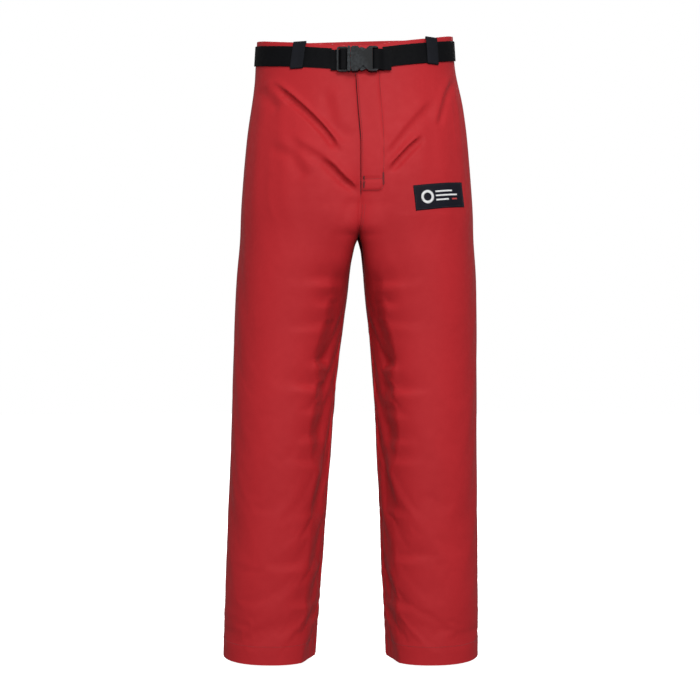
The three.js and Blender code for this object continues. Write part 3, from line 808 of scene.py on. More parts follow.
def makeVariationGroup():
    # broad, slow changes of shade with finer mottling, as in dyed cloth and moulded plastic
    group, given, out = newGroup(
        "shadeVariation",
        [("Vector", "Vector", None), ("Broad Scale", "Float", 6.0), ("Fine Scale", "Float", 60.0)],
        ["Shade", "Mottle"],
    )
    broad = noiseNode(group, given["Vector"], given["Broad Scale"], 3.0)
    fine = noiseNode(group, given["Vector"], given["Fine Scale"], 4.0, 0.6)
    put(group, out["Shade"], rangeNode(group, broad, 0.3, 0.7))
    put(group, out["Mottle"], rangeNode(group, fine, 0.3, 0.7))
    return group


def makeRibGroup():
    # lengthwise ribs of heavy webbing, each crossed by its binding threads
    group, given, out = newGroup(
        "webbingRibs", [("Vector", "Vector", None), ("Ribs", "Float", 620.0)], ["Height", "Rib Shade"]
    )
    split = group.nodes.new("ShaderNodeSeparateXYZ")
    put(group, split.inputs[0], scaledVector(group, given["Vector"], given["Ribs"]))
    rib = mathNode(group, "ABSOLUTE", threadWave(group, split.outputs[1]))
    column = mathNode(group, "FLOOR", split.outputs[1])
    slant = mathNode(group, "MULTIPLY_ADD", column, 0.5, mathNode(group, "MULTIPLY", split.outputs[0], 0.8))
    pick = mathNode(group, "ABSOLUTE", threadWave(group, slant))
    height = mathNode(group, "MULTIPLY", rib, mathNode(group, "MULTIPLY_ADD", pick, 0.5, 0.5))
    put(group, out["Height"], height)
    uneven = noiseNode(group, given["Vector"], 300.0)
    put(group, out["Rib Shade"], mathNode(group, "MULTIPLY", height, uneven))
    return group


def makeWearGroup():
    # rubbed edges: where the surface turns sharply, broken up by fine noise
    group, given, out = newGroup(
        "edgeWear",
        [("Vector", "Vector", None), ("Start", "Float", 0.53), ("Full", "Float", 0.62)],
        ["Mask"],
    )
    geometry = group.nodes.new("ShaderNodeNewGeometry")
    edge = rangeNode(group, geometry.outputs["Pointiness"], given["Start"], given["Full"])
    broken = rangeNode(group, noiseNode(group, given["Vector"], 220.0, 3.0), 0.35, 0.6)
    put(group, out["Mask"], mathNode(group, "MULTIPLY", edge, broken))
    return group


def makeDustGroup():
    # a trace of pale dust, more of it on what faces up
    group, given, out = newGroup(
        "fineDust", [("Vector", "Vector", None), ("Amount", "Float", 0.2)], ["Mask"]
    )
    geometry = group.nodes.new("ShaderNodeNewGeometry")
    split = group.nodes.new("ShaderNodeSeparateXYZ")
    put(group, split.inputs[0], geometry.outputs["Normal"])
    upward = rangeNode(group, split.outputs[2], -0.6, 1.0, 0.25, 1.0)
    specks = rangeNode(group, noiseNode(group, given["Vector"], 260.0, 5.0, 0.7), 0.46, 0.74)
    dust = mathNode(group, "MULTIPLY", mathNode(group, "MULTIPLY", upward, specks), given["Amount"])
    put(group, out["Mask"], dust)
    return group


groups = {
    "weave": makeWeaveGroup(),
    "variation": makeVariationGroup(),
    "ribs": makeRibGroup(),
    "wear": makeWearGroup(),
    "dust": makeDustGroup(),
}
print("shader groups made")


def useGroup(tree, name, vector, **values):
    node = tree.nodes.new("ShaderNodeGroup")
    node.node_tree = groups[name]
    put(tree, node.inputs["Vector"], vector)
    for socket, value in values.items():
        put(tree, node.inputs[socket.replace("_", " ")], value)
    return node.outputs


def newMaterial(name, byUv, plain):
    # the material, its tree, its shader and the coordinates its textures follow
    material = bpy.data.materials.new(name)
    material.use_nodes = True
    tree = material.node_tree
    shader = tree.nodes["Principled BSDF"]
    for socket, value in plain.items():
        shader.inputs[socket].default_value = value
    coordinates = tree.nodes.new("ShaderNodeTexCoord")
    return material, tree, shader, coordinates.outputs["UV" if byUv else "Object"]


def setRoughness(tree, shader, mottle, spread, least):
    # rougher where the surface is mottled
    put(tree, shader.inputs["Roughness"], mathNode(tree, "MULTIPLY_ADD", mottle, spread, least))


def addBump(tree, shader, height, strength, distance):
    bump = tree.nodes.new("ShaderNodeBump")
    bump.inputs["Strength"].default_value = strength
    bump.inputs["Distance"].default_value = distance
    put(tree, bump.inputs["Height"], height)
    put(tree, shader.inputs["Normal"], bump.outputs["Normal"])


def fabricMaterial(name, finish, byUv=True):
    # woven cloth: two shades of the dye, a fine weave, and dust where it asks for it
    plain = {"Sheen Weight": finish["sheen"], "Sheen Roughness": 0.45, "Specular IOR Level": finish["gloss"]}
    plain["Sheen Tint"] = (*finish["sheenTint"], 1)
    material, tree, shader, vector = newMaterial(name, byUv, plain)
    weave = useGroup(tree, "weave", vector, Threads=finish["threads"], Unevenness=0.35)
    variation = useGroup(tree, "variation", vector, Broad_Scale=finish["broad"], Fine_Scale=70.0)
    shade = mixColour(tree, variation["Shade"], (*finish["dark"], 1), (*finish["light"], 1))
    worked = mathNode(tree, "ADD", weave["Thread Shade"], variation["Mottle"])
    worked = mathNode(tree, "MULTIPLY", worked, finish["mottle"])
    colour = mixColour(tree, worked, shade, (*finish["deep"], 1))
    dust = useGroup(tree, "dust", vector, Amount=finish["dust"])
    put(tree, shader.inputs["Base Color"], mixColour(tree, dust["Mask"], colour, (*finish["dustColour"], 1)))
    setRoughness(tree, shader, variation["Mottle"], 0.1, finish["roughness"])
    relief = mathNode(tree, "MULTIPLY_ADD", variation["Mottle"], 0.35, weave["Height"])
    addBump(tree, shader, relief, finish["bump"], finish["bumpDepth"])
    return material


fabricFinishes = {
    "shellCloth": {
        "dark": (0.445, 0.0185, 0.0245), "light": (0.495, 0.0215, 0.028), "deep": (0.34, 0.012, 0.017),
        "mottle": 0.14, "sheen": 0.03, "sheenTint": (1.0, 0.4, 0.36), "gloss": 0.13, "roughness": 0.52,
        "threads": 1700.0, "broad": 5.0, "bump": 0.22, "bumpDepth": 0.00012, "dust": 0.012,
        "dustColour": (0.6, 0.3, 0.28),
    },
    "shellInside": {
        "dark": (0.17, 0.018, 0.022), "light": (0.2, 0.022, 0.027), "deep": (0.1, 0.01, 0.012),
        "mottle": 0.25, "sheen": 0.05, "sheenTint": (1.0, 0.6, 0.6), "gloss": 0.2, "roughness": 0.75,
        "threads": 1700.0, "broad": 6.0, "bump": 0.25, "bumpDepth": 0.00012, "dust": 0.03,
        "dustColour": (0.5, 0.4, 0.4),
    },
    "liningCloth": {
        "dark": (0.035, 0.037, 0.043), "light": (0.05, 0.052, 0.06), "deep": (0.018, 0.019, 0.022),
        "mottle": 0.3, "sheen": 0.15, "sheenTint": (0.8, 0.85, 1.0), "gloss": 0.25, "roughness": 0.7,
        "threads": 900.0, "broad": 9.0, "bump": 0.4, "bumpDepth": 0.0002, "dust": 0.04,
        "dustColour": (0.3, 0.3, 0.3),
    },
    "cutPadding": {
        "dark": (0.62, 0.59, 0.5), "light": (0.72, 0.69, 0.6), "deep": (0.45, 0.42, 0.35),
        "mottle": 0.3, "sheen": 0.2, "sheenTint": (1.0, 1.0, 1.0), "gloss": 0.15, "roughness": 0.85,
        "threads": 500.0, "broad": 12.0, "bump": 0.5, "bumpDepth": 0.0004, "dust": 0.03,
        "dustColour": (0.5, 0.48, 0.42),
    },
    "labelCloth": {
        "dark": (0.006, 0.0062, 0.012), "light": (0.009, 0.0094, 0.018), "deep": (0.004, 0.004, 0.008),
        "mottle": 0.3, "sheen": 0.02, "sheenTint": (0.8, 0.85, 1.0), "gloss": 0.12, "roughness": 0.55,
        "threads": 2200.0, "broad": 25.0, "bump": 0.35, "bumpDepth": 0.00012, "dust": 0.015,
        "dustColour": (0.3, 0.3, 0.32),
    },
    "zipTapeCloth": {
        "dark": (0.15, 0.012, 0.016), "light": (0.19, 0.016, 0.02), "deep": (0.08, 0.008, 0.01),
        "mottle": 0.3, "sheen": 0.1, "sheenTint": (1.0, 0.7, 0.7), "gloss": 0.25, "roughness": 0.7,
        "threads": 1500.0, "broad": 20.0, "bump": 0.4, "bumpDepth": 0.0002, "dust": 0.03,
        "dustColour": (0.4, 0.3, 0.3),
    },
}
threadFinishes = {
    "redThread": ((0.20, 0.012, 0.016), (0.28, 0.02, 0.024)),
    # the fly thread: its own deep red, darkened further as painted shade for the stitched groove along the
    # fly
    "flyThreadPaintedShade": ((0.09, 0.006, 0.009), (0.14, 0.01, 0.013)),
    "darkThread": ((0.012, 0.012, 0.015), (0.03, 0.03, 0.034)),
    "whiteThread": ((0.72, 0.73, 0.74), (0.82, 0.83, 0.84)),
    "accentThread": ((0.42, 0.02, 0.022), (0.55, 0.04, 0.04)),
}


def threadMaterial(name, dark, light):
    # twisted sewing thread: mottled colour and a fine bump, with a soft shine
    plain = {"Sheen Weight": 0.2, "Specular IOR Level": 0.4}
    material, tree, shader, vector = newMaterial(name, False, plain)
    variation = useGroup(tree, "variation", vector, Broad_Scale=40.0, Fine_Scale=900.0)
    put(tree, shader.inputs["Base Color"], mixColour(tree, variation["Mottle"], (*dark, 1), (*light, 1)))
    setRoughness(tree, shader, variation["Mottle"], 0.15, 0.45)
    addBump(tree, shader, variation["Mottle"], 0.5, 0.0002)
    return material


webbingFinish = {
    "dark": (0.0016, 0.0018, 0.0024), "light": (0.0028, 0.0031, 0.0042), "worn": (0.009, 0.0098, 0.012),
    "dustColour": (0.18, 0.17, 0.16), "dust": 0.004, "wearStart": 0.52, "wearFull": 0.6, "gloss": 0.09,
    "roughness": 0.62, "ribs": 620.0, "bump": 0.5, "bumpDepth": 0.0004,
}


def webbingMaterial(name, lift=1.0):
    # black polyester webbing: ribs, selvedges rubbed a little paler, a trace of dust; lift makes it paler
    finish = webbingFinish
    plain = {"Specular IOR Level": finish["gloss"], "Sheen Weight": 0.0}
    material, tree, shader, vector = newMaterial(name, True, plain)
    ribs = useGroup(tree, "ribs", vector, Ribs=finish["ribs"])
    variation = useGroup(tree, "variation", vector, Broad_Scale=18.0, Fine_Scale=140.0)
    wear = useGroup(tree, "wear", vector, Start=finish["wearStart"], Full=finish["wearFull"])
    dust = useGroup(tree, "dust", vector, Amount=finish["dust"])
    dark = tuple(lift * c for c in finish["dark"])
    light = tuple(lift * c for c in finish["light"])
    shade = mixColour(tree, variation["Shade"], (*dark, 1), (*light, 1))
    ribbed = mixColour(tree, ribs["Rib Shade"], shade, (*light, 1))
    rubbed = mixColour(tree, wear["Mask"], ribbed, (*finish["worn"], 1))
    put(tree, shader.inputs["Base Color"], mixColour(tree, dust["Mask"], rubbed, (*finish["dustColour"], 1)))
    setRoughness(tree, shader, variation["Mottle"], 0.14, finish["roughness"])
    addBump(tree, shader, ribs["Height"], finish["bump"], finish["bumpDepth"])
    return material


plasticFinish = {
    "dark": (0.0032, 0.0044, 0.0056), "light": (0.0038, 0.0052, 0.0066), "worn": (0.045, 0.054, 0.062),
    "dustColour": (0.2, 0.2, 0.2), "dust": 0.006, "wearStart": 0.55, "wearFull": 0.68, "gloss": 0.14,
    "roughness": 0.4, "grainScale": 500.0, "bump": 0.02, "bumpDepth": 0.0001,
}


def plasticMaterial():
    # moulded acetal: fine grain, edges rubbed paler, a trace of dust
    finish = plasticFinish
    plain = {"Specular IOR Level": finish["gloss"]}
    material, tree, shader, vector = newMaterial("bucklePlastic", False, plain)
    variation = useGroup(tree, "variation", vector, Broad_Scale=40.0, Fine_Scale=finish["grainScale"])
    wear = useGroup(tree, "wear", vector, Start=finish["wearStart"], Full=finish["wearFull"])
    dust = useGroup(tree, "dust", vector, Amount=finish["dust"])
    shade = mixColour(tree, variation["Shade"], (*finish["dark"], 1), (*finish["light"], 1))
    rubbed = mixColour(tree, wear["Mask"], shade, (*finish["worn"], 1))
    put(tree, shader.inputs["Base Color"], mixColour(tree, dust["Mask"], rubbed, (*finish["dustColour"], 1)))
    setRoughness(tree, shader, variation["Mottle"], 0.14, finish["roughness"])
    addBump(tree, shader, variation["Mottle"], finish["bump"], finish["bumpDepth"])
    return material


brassFinish = {
    "dark": (0.36, 0.24, 0.1), "light": (0.5, 0.35, 0.16), "worn": (0.72, 0.56, 0.32),
    "wearStart": 0.51, "wearFull": 0.58, "roughness": 0.24, "bump": 0.15, "bumpDepth": 0.0001,
}


def brassMaterial():
    # plated brass: faint tarnish, brighter where it rubs
    finish = brassFinish
    material, tree, shader, vector = newMaterial("brass", False, {"Metallic": 1.0})
    variation = useGroup(tree, "variation", vector, Broad_Scale=60.0, Fine_Scale=700.0)
    wear = useGroup(tree, "wear", vector, Start=finish["wearStart"], Full=finish["wearFull"])
    shade = mixColour(tree, variation["Shade"], (*finish["dark"], 1), (*finish["light"], 1))
    put(tree, shader.inputs["Base Color"], mixColour(tree, wear["Mask"], shade, (*finish["worn"], 1)))
    setRoughness(tree, shader, variation["Mottle"], 0.2, finish["roughness"])
    addBump(tree, shader, variation["Mottle"], finish["bump"], finish["bumpDepth"])
    return material


materials = {name: fabricMaterial(name, finish) for name, finish in fabricFinishes.items()}
materials.update({name: threadMaterial(name, *shades) for name, shades in threadFinishes.items()})
materials["webbing"] = webbingMaterial("webbing")
materials["loopWebbing"] = webbingMaterial("loopWebbing", 4.2)
materials["plastic"] = plasticMaterial()
materials["brass"] = brassMaterial()
print("materials made")


def finishPiece(piece, replaced=(), body=None, bend=None):
    if body:
        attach(piece, body)
    if bend:
        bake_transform(piece)
    if replaced:
        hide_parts(*replaced)
    return piece


# the heights in metres past the hip joint and past the knee joint between which the cloth is meant to bend;
# nothing here bends it, and a piece given them only has its transform baked
bendHeights = {"hip": (-0.325, -0.455), "knee": (-0.515, -0.665)}


def legBends(name):
    # the bodies and the bend heights for the upper and the lower pieces of one leg, which nothing here uses
    # to bend them
    hip, knee = ([(0, 0, height) for height in bendHeights[joint]] for joint in ("hip", "knee"))
    return {
        "upper": ("waist", name + "_thigh", *hip),
        "lower": (name + "_thigh", name + "_shin", *knee),
    }


def rowsBetween(top, bottom):
    heights = surface["left"]["heights"]
    return np.nonzero((heights <= top + 0.01) & (heights >= bottom - 0.01))[0]


def columnsBetween(start, end):
    around = surface["left"]["around"]
    return np.nonzero((around >= start - 1e-6) & (around <= end + 1e-6))[0]


def cutAsFlat(name):
    # one side's cloth as it is cut, on the same grid as the settled cloth
    cloth = surface[name]
    around = np.maximum(cloth["around"], 1e-7)[None, :] * sides[name]
    return clothPoints(around, cloth["heights"][:, None])


# the red shell: a front and a back piece of cloth above and below the middle of each thigh
shellCut = {
    "thickness": 1.1,
    "upper": {"top": cut["waistSeam"], "bottom": cut["pieceCut"]},
    "lower": {"top": cut["pieceCut"], "bottom": cut["hem"]},
    "front": (0, 0.5),
    "back": (0.5, 1),
}


def addShell(name):
    cloth = surface[name]
    replaced = {
        ("front", "upper"): ["front_hip_panel", "front_thigh_panel", "hip_fold"],
        ("back", "upper"): ["back_hip_panel", "back_thigh_panel"],
        ("front", "lower"): ["front_shin_panel", "knee_fold"],
        ("back", "lower"): ["back_shin_panel"],
    }
    for (face, part), nodes in replaced.items():
        rows = rowsBetween(shellCut[part]["top"], shellCut[part]["bottom"])
        columns = columnsBetween(*shellCut[face])
        points, normals = cloth["points"][np.ix_(rows, columns)], cloth["normals"][np.ix_(rows, columns)]
        inside = points - normals * shellCut["thickness"] * mm
        piece = clothSheet(f"{name}_{face}_shell_{part}", points, inside, normals,
                           [materials["shellCloth"], materials["shellInside"]], flip=sides[name] < 0)
        finishPiece(piece, [f"{name}_{node}" for node in nodes], bend=legBends(name)[part])


# linings hang inside, close to the shell at the hips and behind the padding in the legs
liningCut = {
    "hipDepth": 3.4,
    "legDepth": 10.6,
    "thickness": 0.6,
    "upper": {"top": -22, "bottom": cut["pieceCut"]},
    "lower": {"top": cut["pieceCut"], "bottom": -1012},
}


def liningSurface(name, rows, columns):
    cloth = surface[name]
    pick = np.ix_(rows, columns)
    heights = cloth["heights"][rows][:, None]
    inLeg = smoothStep(-heights, -cut["crotch"] - 25, -cut["crotch"] + 30)[..., None]
    near = cloth["points"][pick] - cloth["normals"][pick] * liningCut["hipDepth"] * mm
    deep = cloth["soft"][pick] - cloth["softNormals"][pick] * liningCut["legDepth"] * mm
    normals = cloth["normals"][pick] * (1 - inLeg) + cloth["softNormals"][pick] * inLeg
    return near * (1 - inLeg) + deep * inLeg, normals


def addLining(name):
    nodes = {
        ("front", "upper"): [f"{name}_hip_lining"],
        ("back", "upper"): [f"{name}_thigh_lining"],
        ("front", "lower"): [f"{name}_shin_lining"],
        ("back", "lower"): [],
    }
    for (face, part), replaced in nodes.items():
        rows = rowsBetween(liningCut[part]["top"], liningCut[part]["bottom"])
        columns = columnsBetween(*shellCut[face])
        outer, normals = liningSurface(name, rows, columns)
        inner = outer - normals * liningCut["thickness"] * mm
        piece = clothSheet(f"{name}_{face}_lining_{part}", outer, inner, normals,
                           [materials["liningCloth"], materials["liningCloth"]], flip=sides[name] < 0)
        finishPiece(piece, replaced, bend=legBends(name)[part])


# cut protection: a quilted pad down the front of each leg
padCut = {
    "outerDepth": 2.2,
    "innerDepth": 9.2,
    "start": 0.075,
    "end": 0.492,
    "channels": 7,
    "pinch": 2.4,
    "edgePinch": 2.2,
    "thigh": {"top": -345, "bottom": cut["pieceCut"]},
    "shin": {"top": cut["pieceCut"], "bottom": -1008},
}


def addPads(name):
    cloth = surface[name]
    for part, bendPart in (("thigh", "upper"), ("shin", "lower")):
        rows = rowsBetween(padCut[part]["top"], padCut[part]["bottom"])
        columns = columnsBetween(padCut["start"], padCut["end"])
        pick = np.ix_(rows, columns)
        share = (cloth["around"][columns] - padCut["start"]) / (padCut["end"] - padCut["start"])
        sewn = np.abs(np.cos(share * padCut["channels"] * math.pi)) ** 14 * padCut["pinch"]
        edge = padCut["edgePinch"] * (1 - smoothStep(np.minimum(share, 1 - share), 0, 0.025))
        pinch = np.maximum(sewn, edge)[None, :, None] * mm
        outer = cloth["points"][pick] - cloth["normals"][pick] * (padCut["outerDepth"] * mm + pinch)
        inner = cloth["soft"][pick] - cloth["softNormals"][pick] * (padCut["innerDepth"] * mm - pinch)
        piece = clothSheet(f"{name}_{part}_pad", outer, inner, None, [materials["cutPadding"]],
                           flip=sides[name] < 0)
        finishPiece(piece, [f"{name}_{part}_cut_pad"], bend=legBends(name)[bendPart])


hemCut = {"top": -1014, "bottom": -1044.5, "outerDepth": 1.5, "thickness": 1.1}


def addHem(name):
    # the turned-up cloth inside the bottom of each leg
    cloth = surface[name]
    rows = rowsBetween(hemCut["top"], hemCut["bottom"])
    columns = columnsBetween(0, 1)
    pick = np.ix_(rows, columns)
    outer = cloth["points"][pick] - cloth["normals"][pick] * hemCut["outerDepth"] * mm
    inner = outer - cloth["normals"][pick] * hemCut["thickness"] * mm
    piece = clothSheet(f"{name}_hem_facing", outer, inner, cloth["normals"][pick],
                       [materials["shellInside"], materials["shellCloth"]], flip=sides[name] < 0)
    finishPiece(piece, [f"{name}_hem"], body=f"{name}_shin")


# cloth behind the fly
flyCloth = {
    "facing": {"share": (0, 0.0625), "rows": (-24, -232), "depth": 1.5, "thickness": 0.7},
    "shield": {"share": 0.0625, "rows": (-24, -232), "depth": 11.2, "thickness": 0.9},
}


def addFlyCloth():
    facing = flyCloth["facing"]
    rows, columns = rowsBetween(*facing["rows"]), columnsBetween(*facing["share"])
    pick = np.ix_(rows, columns)
    cloth = surface["left"]
    outer = cloth["points"][pick] - cloth["normals"][pick] * facing["depth"] * mm
    inner = outer - cloth["normals"][pick] * facing["thickness"] * mm
    piece = clothSheet("fly_facing_cloth", outer, inner, cloth["normals"][pick], [materials["shellInside"]])
    finishPiece(piece, ["fly_facing"], body="waist")
    shield = flyCloth["shield"]
    share = np.linspace(-shield["share"], shield["share"], 33)[None, :]
    heights = surface["left"]["heights"][rows][:, None]
    level = clothPoints(share, heights)
    across = np.gradient(level, axis=1)
    normals = np.stack([across[..., 1], -across[..., 0], np.zeros_like(across[..., 0])], -1)
    normals /= np.linalg.norm(normals, axis=-1, keepdims=True)
    outer = level - normals * shield["depth"] * mm
    inner = outer - normals * shield["thickness"] * mm
    piece = clothSheet("fly_shield_cloth", outer, inner, normals, [materials["shellInside"]])
    finishPiece(piece, ["fly_shield"], body="waist")


def lengthsAlong(line):
    # how far along a line of points each of them lies
    return np.concatenate([[0], np.cumsum(np.linalg.norm(np.diff(line, axis=0), axis=1))])


# bands and straps: a closed section swept along a row of frames
def sweptBand(name, places, outwards, upwards, section, material):
    # section points are (out, up) in millimetres, once round
    out, up = np.array([p[0] for p in section]) * mm, np.array([p[1] for p in section]) * mm
    points = places[:, None] + outwards[:, None] * out[None, :, None] + upwards[:, None] * up[None, :, None]
    steps, ring = len(places), len(section)
    faces = gridFaces(steps, ring, ring=True).tolist()
    faces.append(list(range(ring)))
    faces.append(list(range((steps - 1) * ring, steps * ring))[::-1])
    uv = np.stack(np.broadcast_arrays(lengthsAlong(places)[:, None], up[None, :]), -1)
    piece = newPiece(name, points, faces, [material], uv=uv.reshape(-1, 2))
    tidyNormals(piece)
    return piece


def tidyNormals(piece):
    # turns every face outwards and leaves sharp corners of more than 50 degrees
    work = bmesh.new()
    work.from_mesh(piece.data)
    bmesh.ops.recalc_face_normals(work, faces=work.faces)
    work.to_mesh(piece.data)
    work.free()
    piece.data.set_sharp_from_angle(angle=math.radians(50))


def roundedStrip(out, thickness, low, high, edge=4):
    # the section of a strap: flat faces and rounded selvedges
    r = thickness / 2
    middle = out + r
    turn = [math.pi * k / edge for k in range(edge + 1)]
    top = [(middle + r * math.cos(a), high - r + r * math.sin(a)) for a in turn]
    bottom = [(middle - r * math.cos(a), low + r - r * math.sin(a)) for a in turn]
    ribs = 6
    inner = [(out, high - r + (low - high + 2 * r) * k / ribs) for k in range(1, ribs)]
    outer = [(out + thickness, low + r + (high - low - 2 * r) * k / ribs) for k in range(1, ribs)]
    return top + inner + bottom + outer


def waistFrames(start, end, steps, height=0.0):
    # frames along the waist at one height: the place, the level way out, and up the cloth
    share = np.linspace(start, end, steps)
    probe = 0.004
    place = clothPoints(share, height)
    along = clothPoints(share + probe, height) - clothPoints(share - probe, height)
    outwards = np.stack([along[:, 1], -along[:, 0], np.zeros(steps)], -1)
    outwards /= np.linalg.norm(outwards, axis=1, keepdims=True)
    upwards = clothPoints(share, height + 10) - clothPoints(share, height - 10)
    upwards /= np.linalg.norm(upwards, axis=1, keepdims=True)
    return place, outwards, upwards


def waistSteps(start, end):
    return max(8, int(abs(end - start) * 110))


waistband = {"top": 25, "bottom": -17, "thickness": 3, "seamGap": 0.0001, "sideRise": 0.04, "frontDip": 0.05}


def addWaistband():
    thickness = waistband["thickness"]
    section = roundedStrip(-thickness, thickness, waistband["bottom"], waistband["top"], 6)
    gap = waistband["seamGap"]
    ranges = {
        "front_left_waistband": (gap, 0.5 - gap),
        "front_right_waistband": (gap - 0.5, -gap),
        "back_waistband": (0.5 + gap, 1.5 - gap),
    }
    for node, (start, end) in ranges.items():
        places, outwards, upwards = waistFrames(start, end, waistSteps(start, end))
        share = np.abs(np.linspace(start, end, len(places)))
        rise = waistband["sideRise"] * smoothStep(share, 0.2, 0.4) * (1 - smoothStep(share, 0.55, 0.7))
        rise = rise - waistband["frontDip"] * np.exp(-((share / 0.13) ** 2))
        band = sweptBand(node + "_cloth", places, outwards, upwards * (1 + rise[:, None]), section,
                         materials["shellCloth"])
        finishPiece(band, [node], body="waist")


belt = {"width": 35, "out": 0.6, "thickness": 1.8, "start": 1 / 16, "split": 3 / 16, "splitGap": 0.0006}


def addBelt():
    section = roundedStrip(belt["out"], belt["thickness"], -belt["width"] / 2, belt["width"] / 2)
    start, end = belt["start"], 2 - belt["split"]
    frames = waistFrames(start, end, waistSteps(start, end))
    main = sweptBand("belt_strap", *frames, section, materials["webbing"])
    finishPiece(main, ["belt_webbing"], body="waist")
    start, end = -belt["split"] + belt["splitGap"], -belt["start"]
    frames = waistFrames(start, end, 32)
    short = sweptBand("belt_strap_front_right", *frames, section, materials["webbing"])
    finishPiece(short, ["belt_webbing_front_right"])
    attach(short, "waist")
    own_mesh(short)


beltLoops = {
    "places": {
        "front_left_belt_loop": 0.241,
        "front_right_belt_loop": -0.171,
        "back_left_belt_loop": 0.72,
        "back_right_belt_loop": -0.72,
        "centre_back_belt_loop": 1,
    },
    "width": 23,
    "thickness": 1.4,
    "inside": 3.4,
    "top": 25.5,
    "bottom": -20.6,
    "foot": 5,
    "standOff": 1.1,
    "lean": {"front_left_belt_loop": -2.0, "front_right_belt_loop": 3.5},
}


def smoothLine(stations, steps):
    # a Catmull-Rom line through the stations, evenly stepped
    p = np.array(stations, float)
    p = np.concatenate([2 * p[:1] - p[1:2], p, 2 * p[-1:] - p[-2:-1]])
    fine = []
    for i in range(len(p) - 3):
        for t in np.linspace(0, 1, 24, endpoint=False):
            a, b, c, d = p[i : i + 4]
            fine.append(0.5 * (2 * b + (c - a) * t + (2 * a - 5 * b + 4 * c - d) * t**2
                               + (3 * b - a - 3 * c + d) * t**3))
    fine.append(p[-2])
    fine = np.array(fine)
    lengths = lengthsAlong(fine)
    at = np.linspace(0, lengths[-1], steps)
    return np.stack([np.interp(at, lengths, fine[:, k]) for k in range(fine.shape[1])], -1)


def addBeltLoops():
    # a bridge of webbing over the belt, turned in and sewn down above and below it
    b = beltLoops
    out = b["inside"] + b["thickness"] / 2
    foot = b["standOff"] + b["thickness"] / 2
    line = smoothLine([
        (foot, b["top"] - b["foot"]), (foot, b["top"] - 2.2), (foot + 1.0, b["top"] - 0.8),
        (out, b["top"] - 1.6), (out + 0.2, b["top"] - 5), (out + 0.3, 8), (out + 0.3, 0), (out + 0.3, -8),
        (out + 0.2, b["bottom"] + 5), (out, b["bottom"] + 1.6), (foot + 1.0, b["bottom"] + 0.8),
        (foot, b["bottom"] + 2.2), (foot, b["bottom"] + b["foot"]),
    ], 60)
    for node, share in b["places"].items():
        place, outwards, upwards = (values[0] for values in waistFrames(share, share, 1))
        along = np.cross(upwards, outwards)
        upwards = np.cross(outwards, along)
        lean = b["lean"].get(node, 0.0)
        sideways = lean * (line[:, 1] / b["top"]) * mm
        places = place + outwards * line[:, :1] * mm + upwards * line[:, 1:] * mm + along * sideways[:, None]
        tangent = np.gradient(line, axis=0)
        tangent /= np.linalg.norm(tangent, axis=1, keepdims=True)
        facing = outwards * tangent[:, 1:] * -1 + upwards * tangent[:, :1]
        section = roundedStrip(-b["thickness"] / 2, b["thickness"], -b["width"] / 2, b["width"] / 2)
        loop = sweptBand(node + "_strap", places, -facing, np.tile(along, (len(line), 1)), section,
                         materials["loopWebbing"])
        finishPiece(loop, [node], body="waist")


buckleFrame = {"origin": (1, -109.176, -35.294), "tilt": -4, "foldThickness": 1.3, "foldWidth": 35}
webbingFolds = {
    "belt_fold_at_plug": {
        "body": "buckle_plug",
        "line": [(-45, -1.5), (-38, -2.6), (-34, -3.9), (-30.4, -4.6), (-29, -7.2), (-27.6, -9.4),
                 (-24.8, -9.9), (-20.4, -9.4), (-18.5, -6.8), (-19.4, -3.4), (-23, -1.5), (-29, -1.0)],
    },
    "belt_fold_at_socket": {
        "body": "waist",
        "line": [(45, -1.5), (38, -2.7), (34, -3.9), (29.4, -4.1), (26.0, -5.4), (25.6, -8.4), (28.4, -9.9),
                 (33.6, -9.9), (38, -7.9), (43, -4.9), (49, -3.6), (56, -3.0)],
    },
}


def addWebbingFolds():
    # webbing sewn round the bars of the buckle
    turn = np.array(Matrix.Rotation(math.radians(buckleFrame["tilt"]), 3, "X"))
    origin = np.array(buckleFrame["origin"])
    half = buckleFrame["foldThickness"] / 2
    for node, fold in webbingFolds.items():
        line = smoothLine(fold["line"], 80)
        flat = np.stack([line[:, 0], line[:, 1], np.zeros(len(line))], -1)
        places = (flat @ turn.T + origin) * mm
        tangent = np.gradient(flat, axis=0)
        tangent /= np.linalg.norm(tangent, axis=1, keepdims=True)
        facing = np.stack([-tangent[:, 1], tangent[:, 0], np.zeros(len(line))], -1) @ turn.T
        upwards = np.tile(np.array([0, 0, 1.0]) @ turn.T, (len(line), 1))
        width = buckleFrame["foldWidth"] / 2
        section = roundedStrip(-half, 2 * half, -width, width)
        piece = sweptBand(node + "_webbing", places, facing, upwards, section, materials["webbing"])
        finishPiece(piece, [node], body=fold["body"])


# sewing thread: rows of short stitches, each a small capsule half sunk in the cloth
stitch = {"pitch": 3.1, "length": 2.3, "radius": 0.36}
tackStitch = {"pitch": 2.7, "length": 3.0, "radius": 0.42}
borderStitch = {"pitch": 2.4, "length": 1.9, "radius": 0.3}
satinStitch = {"radius": 0.42}


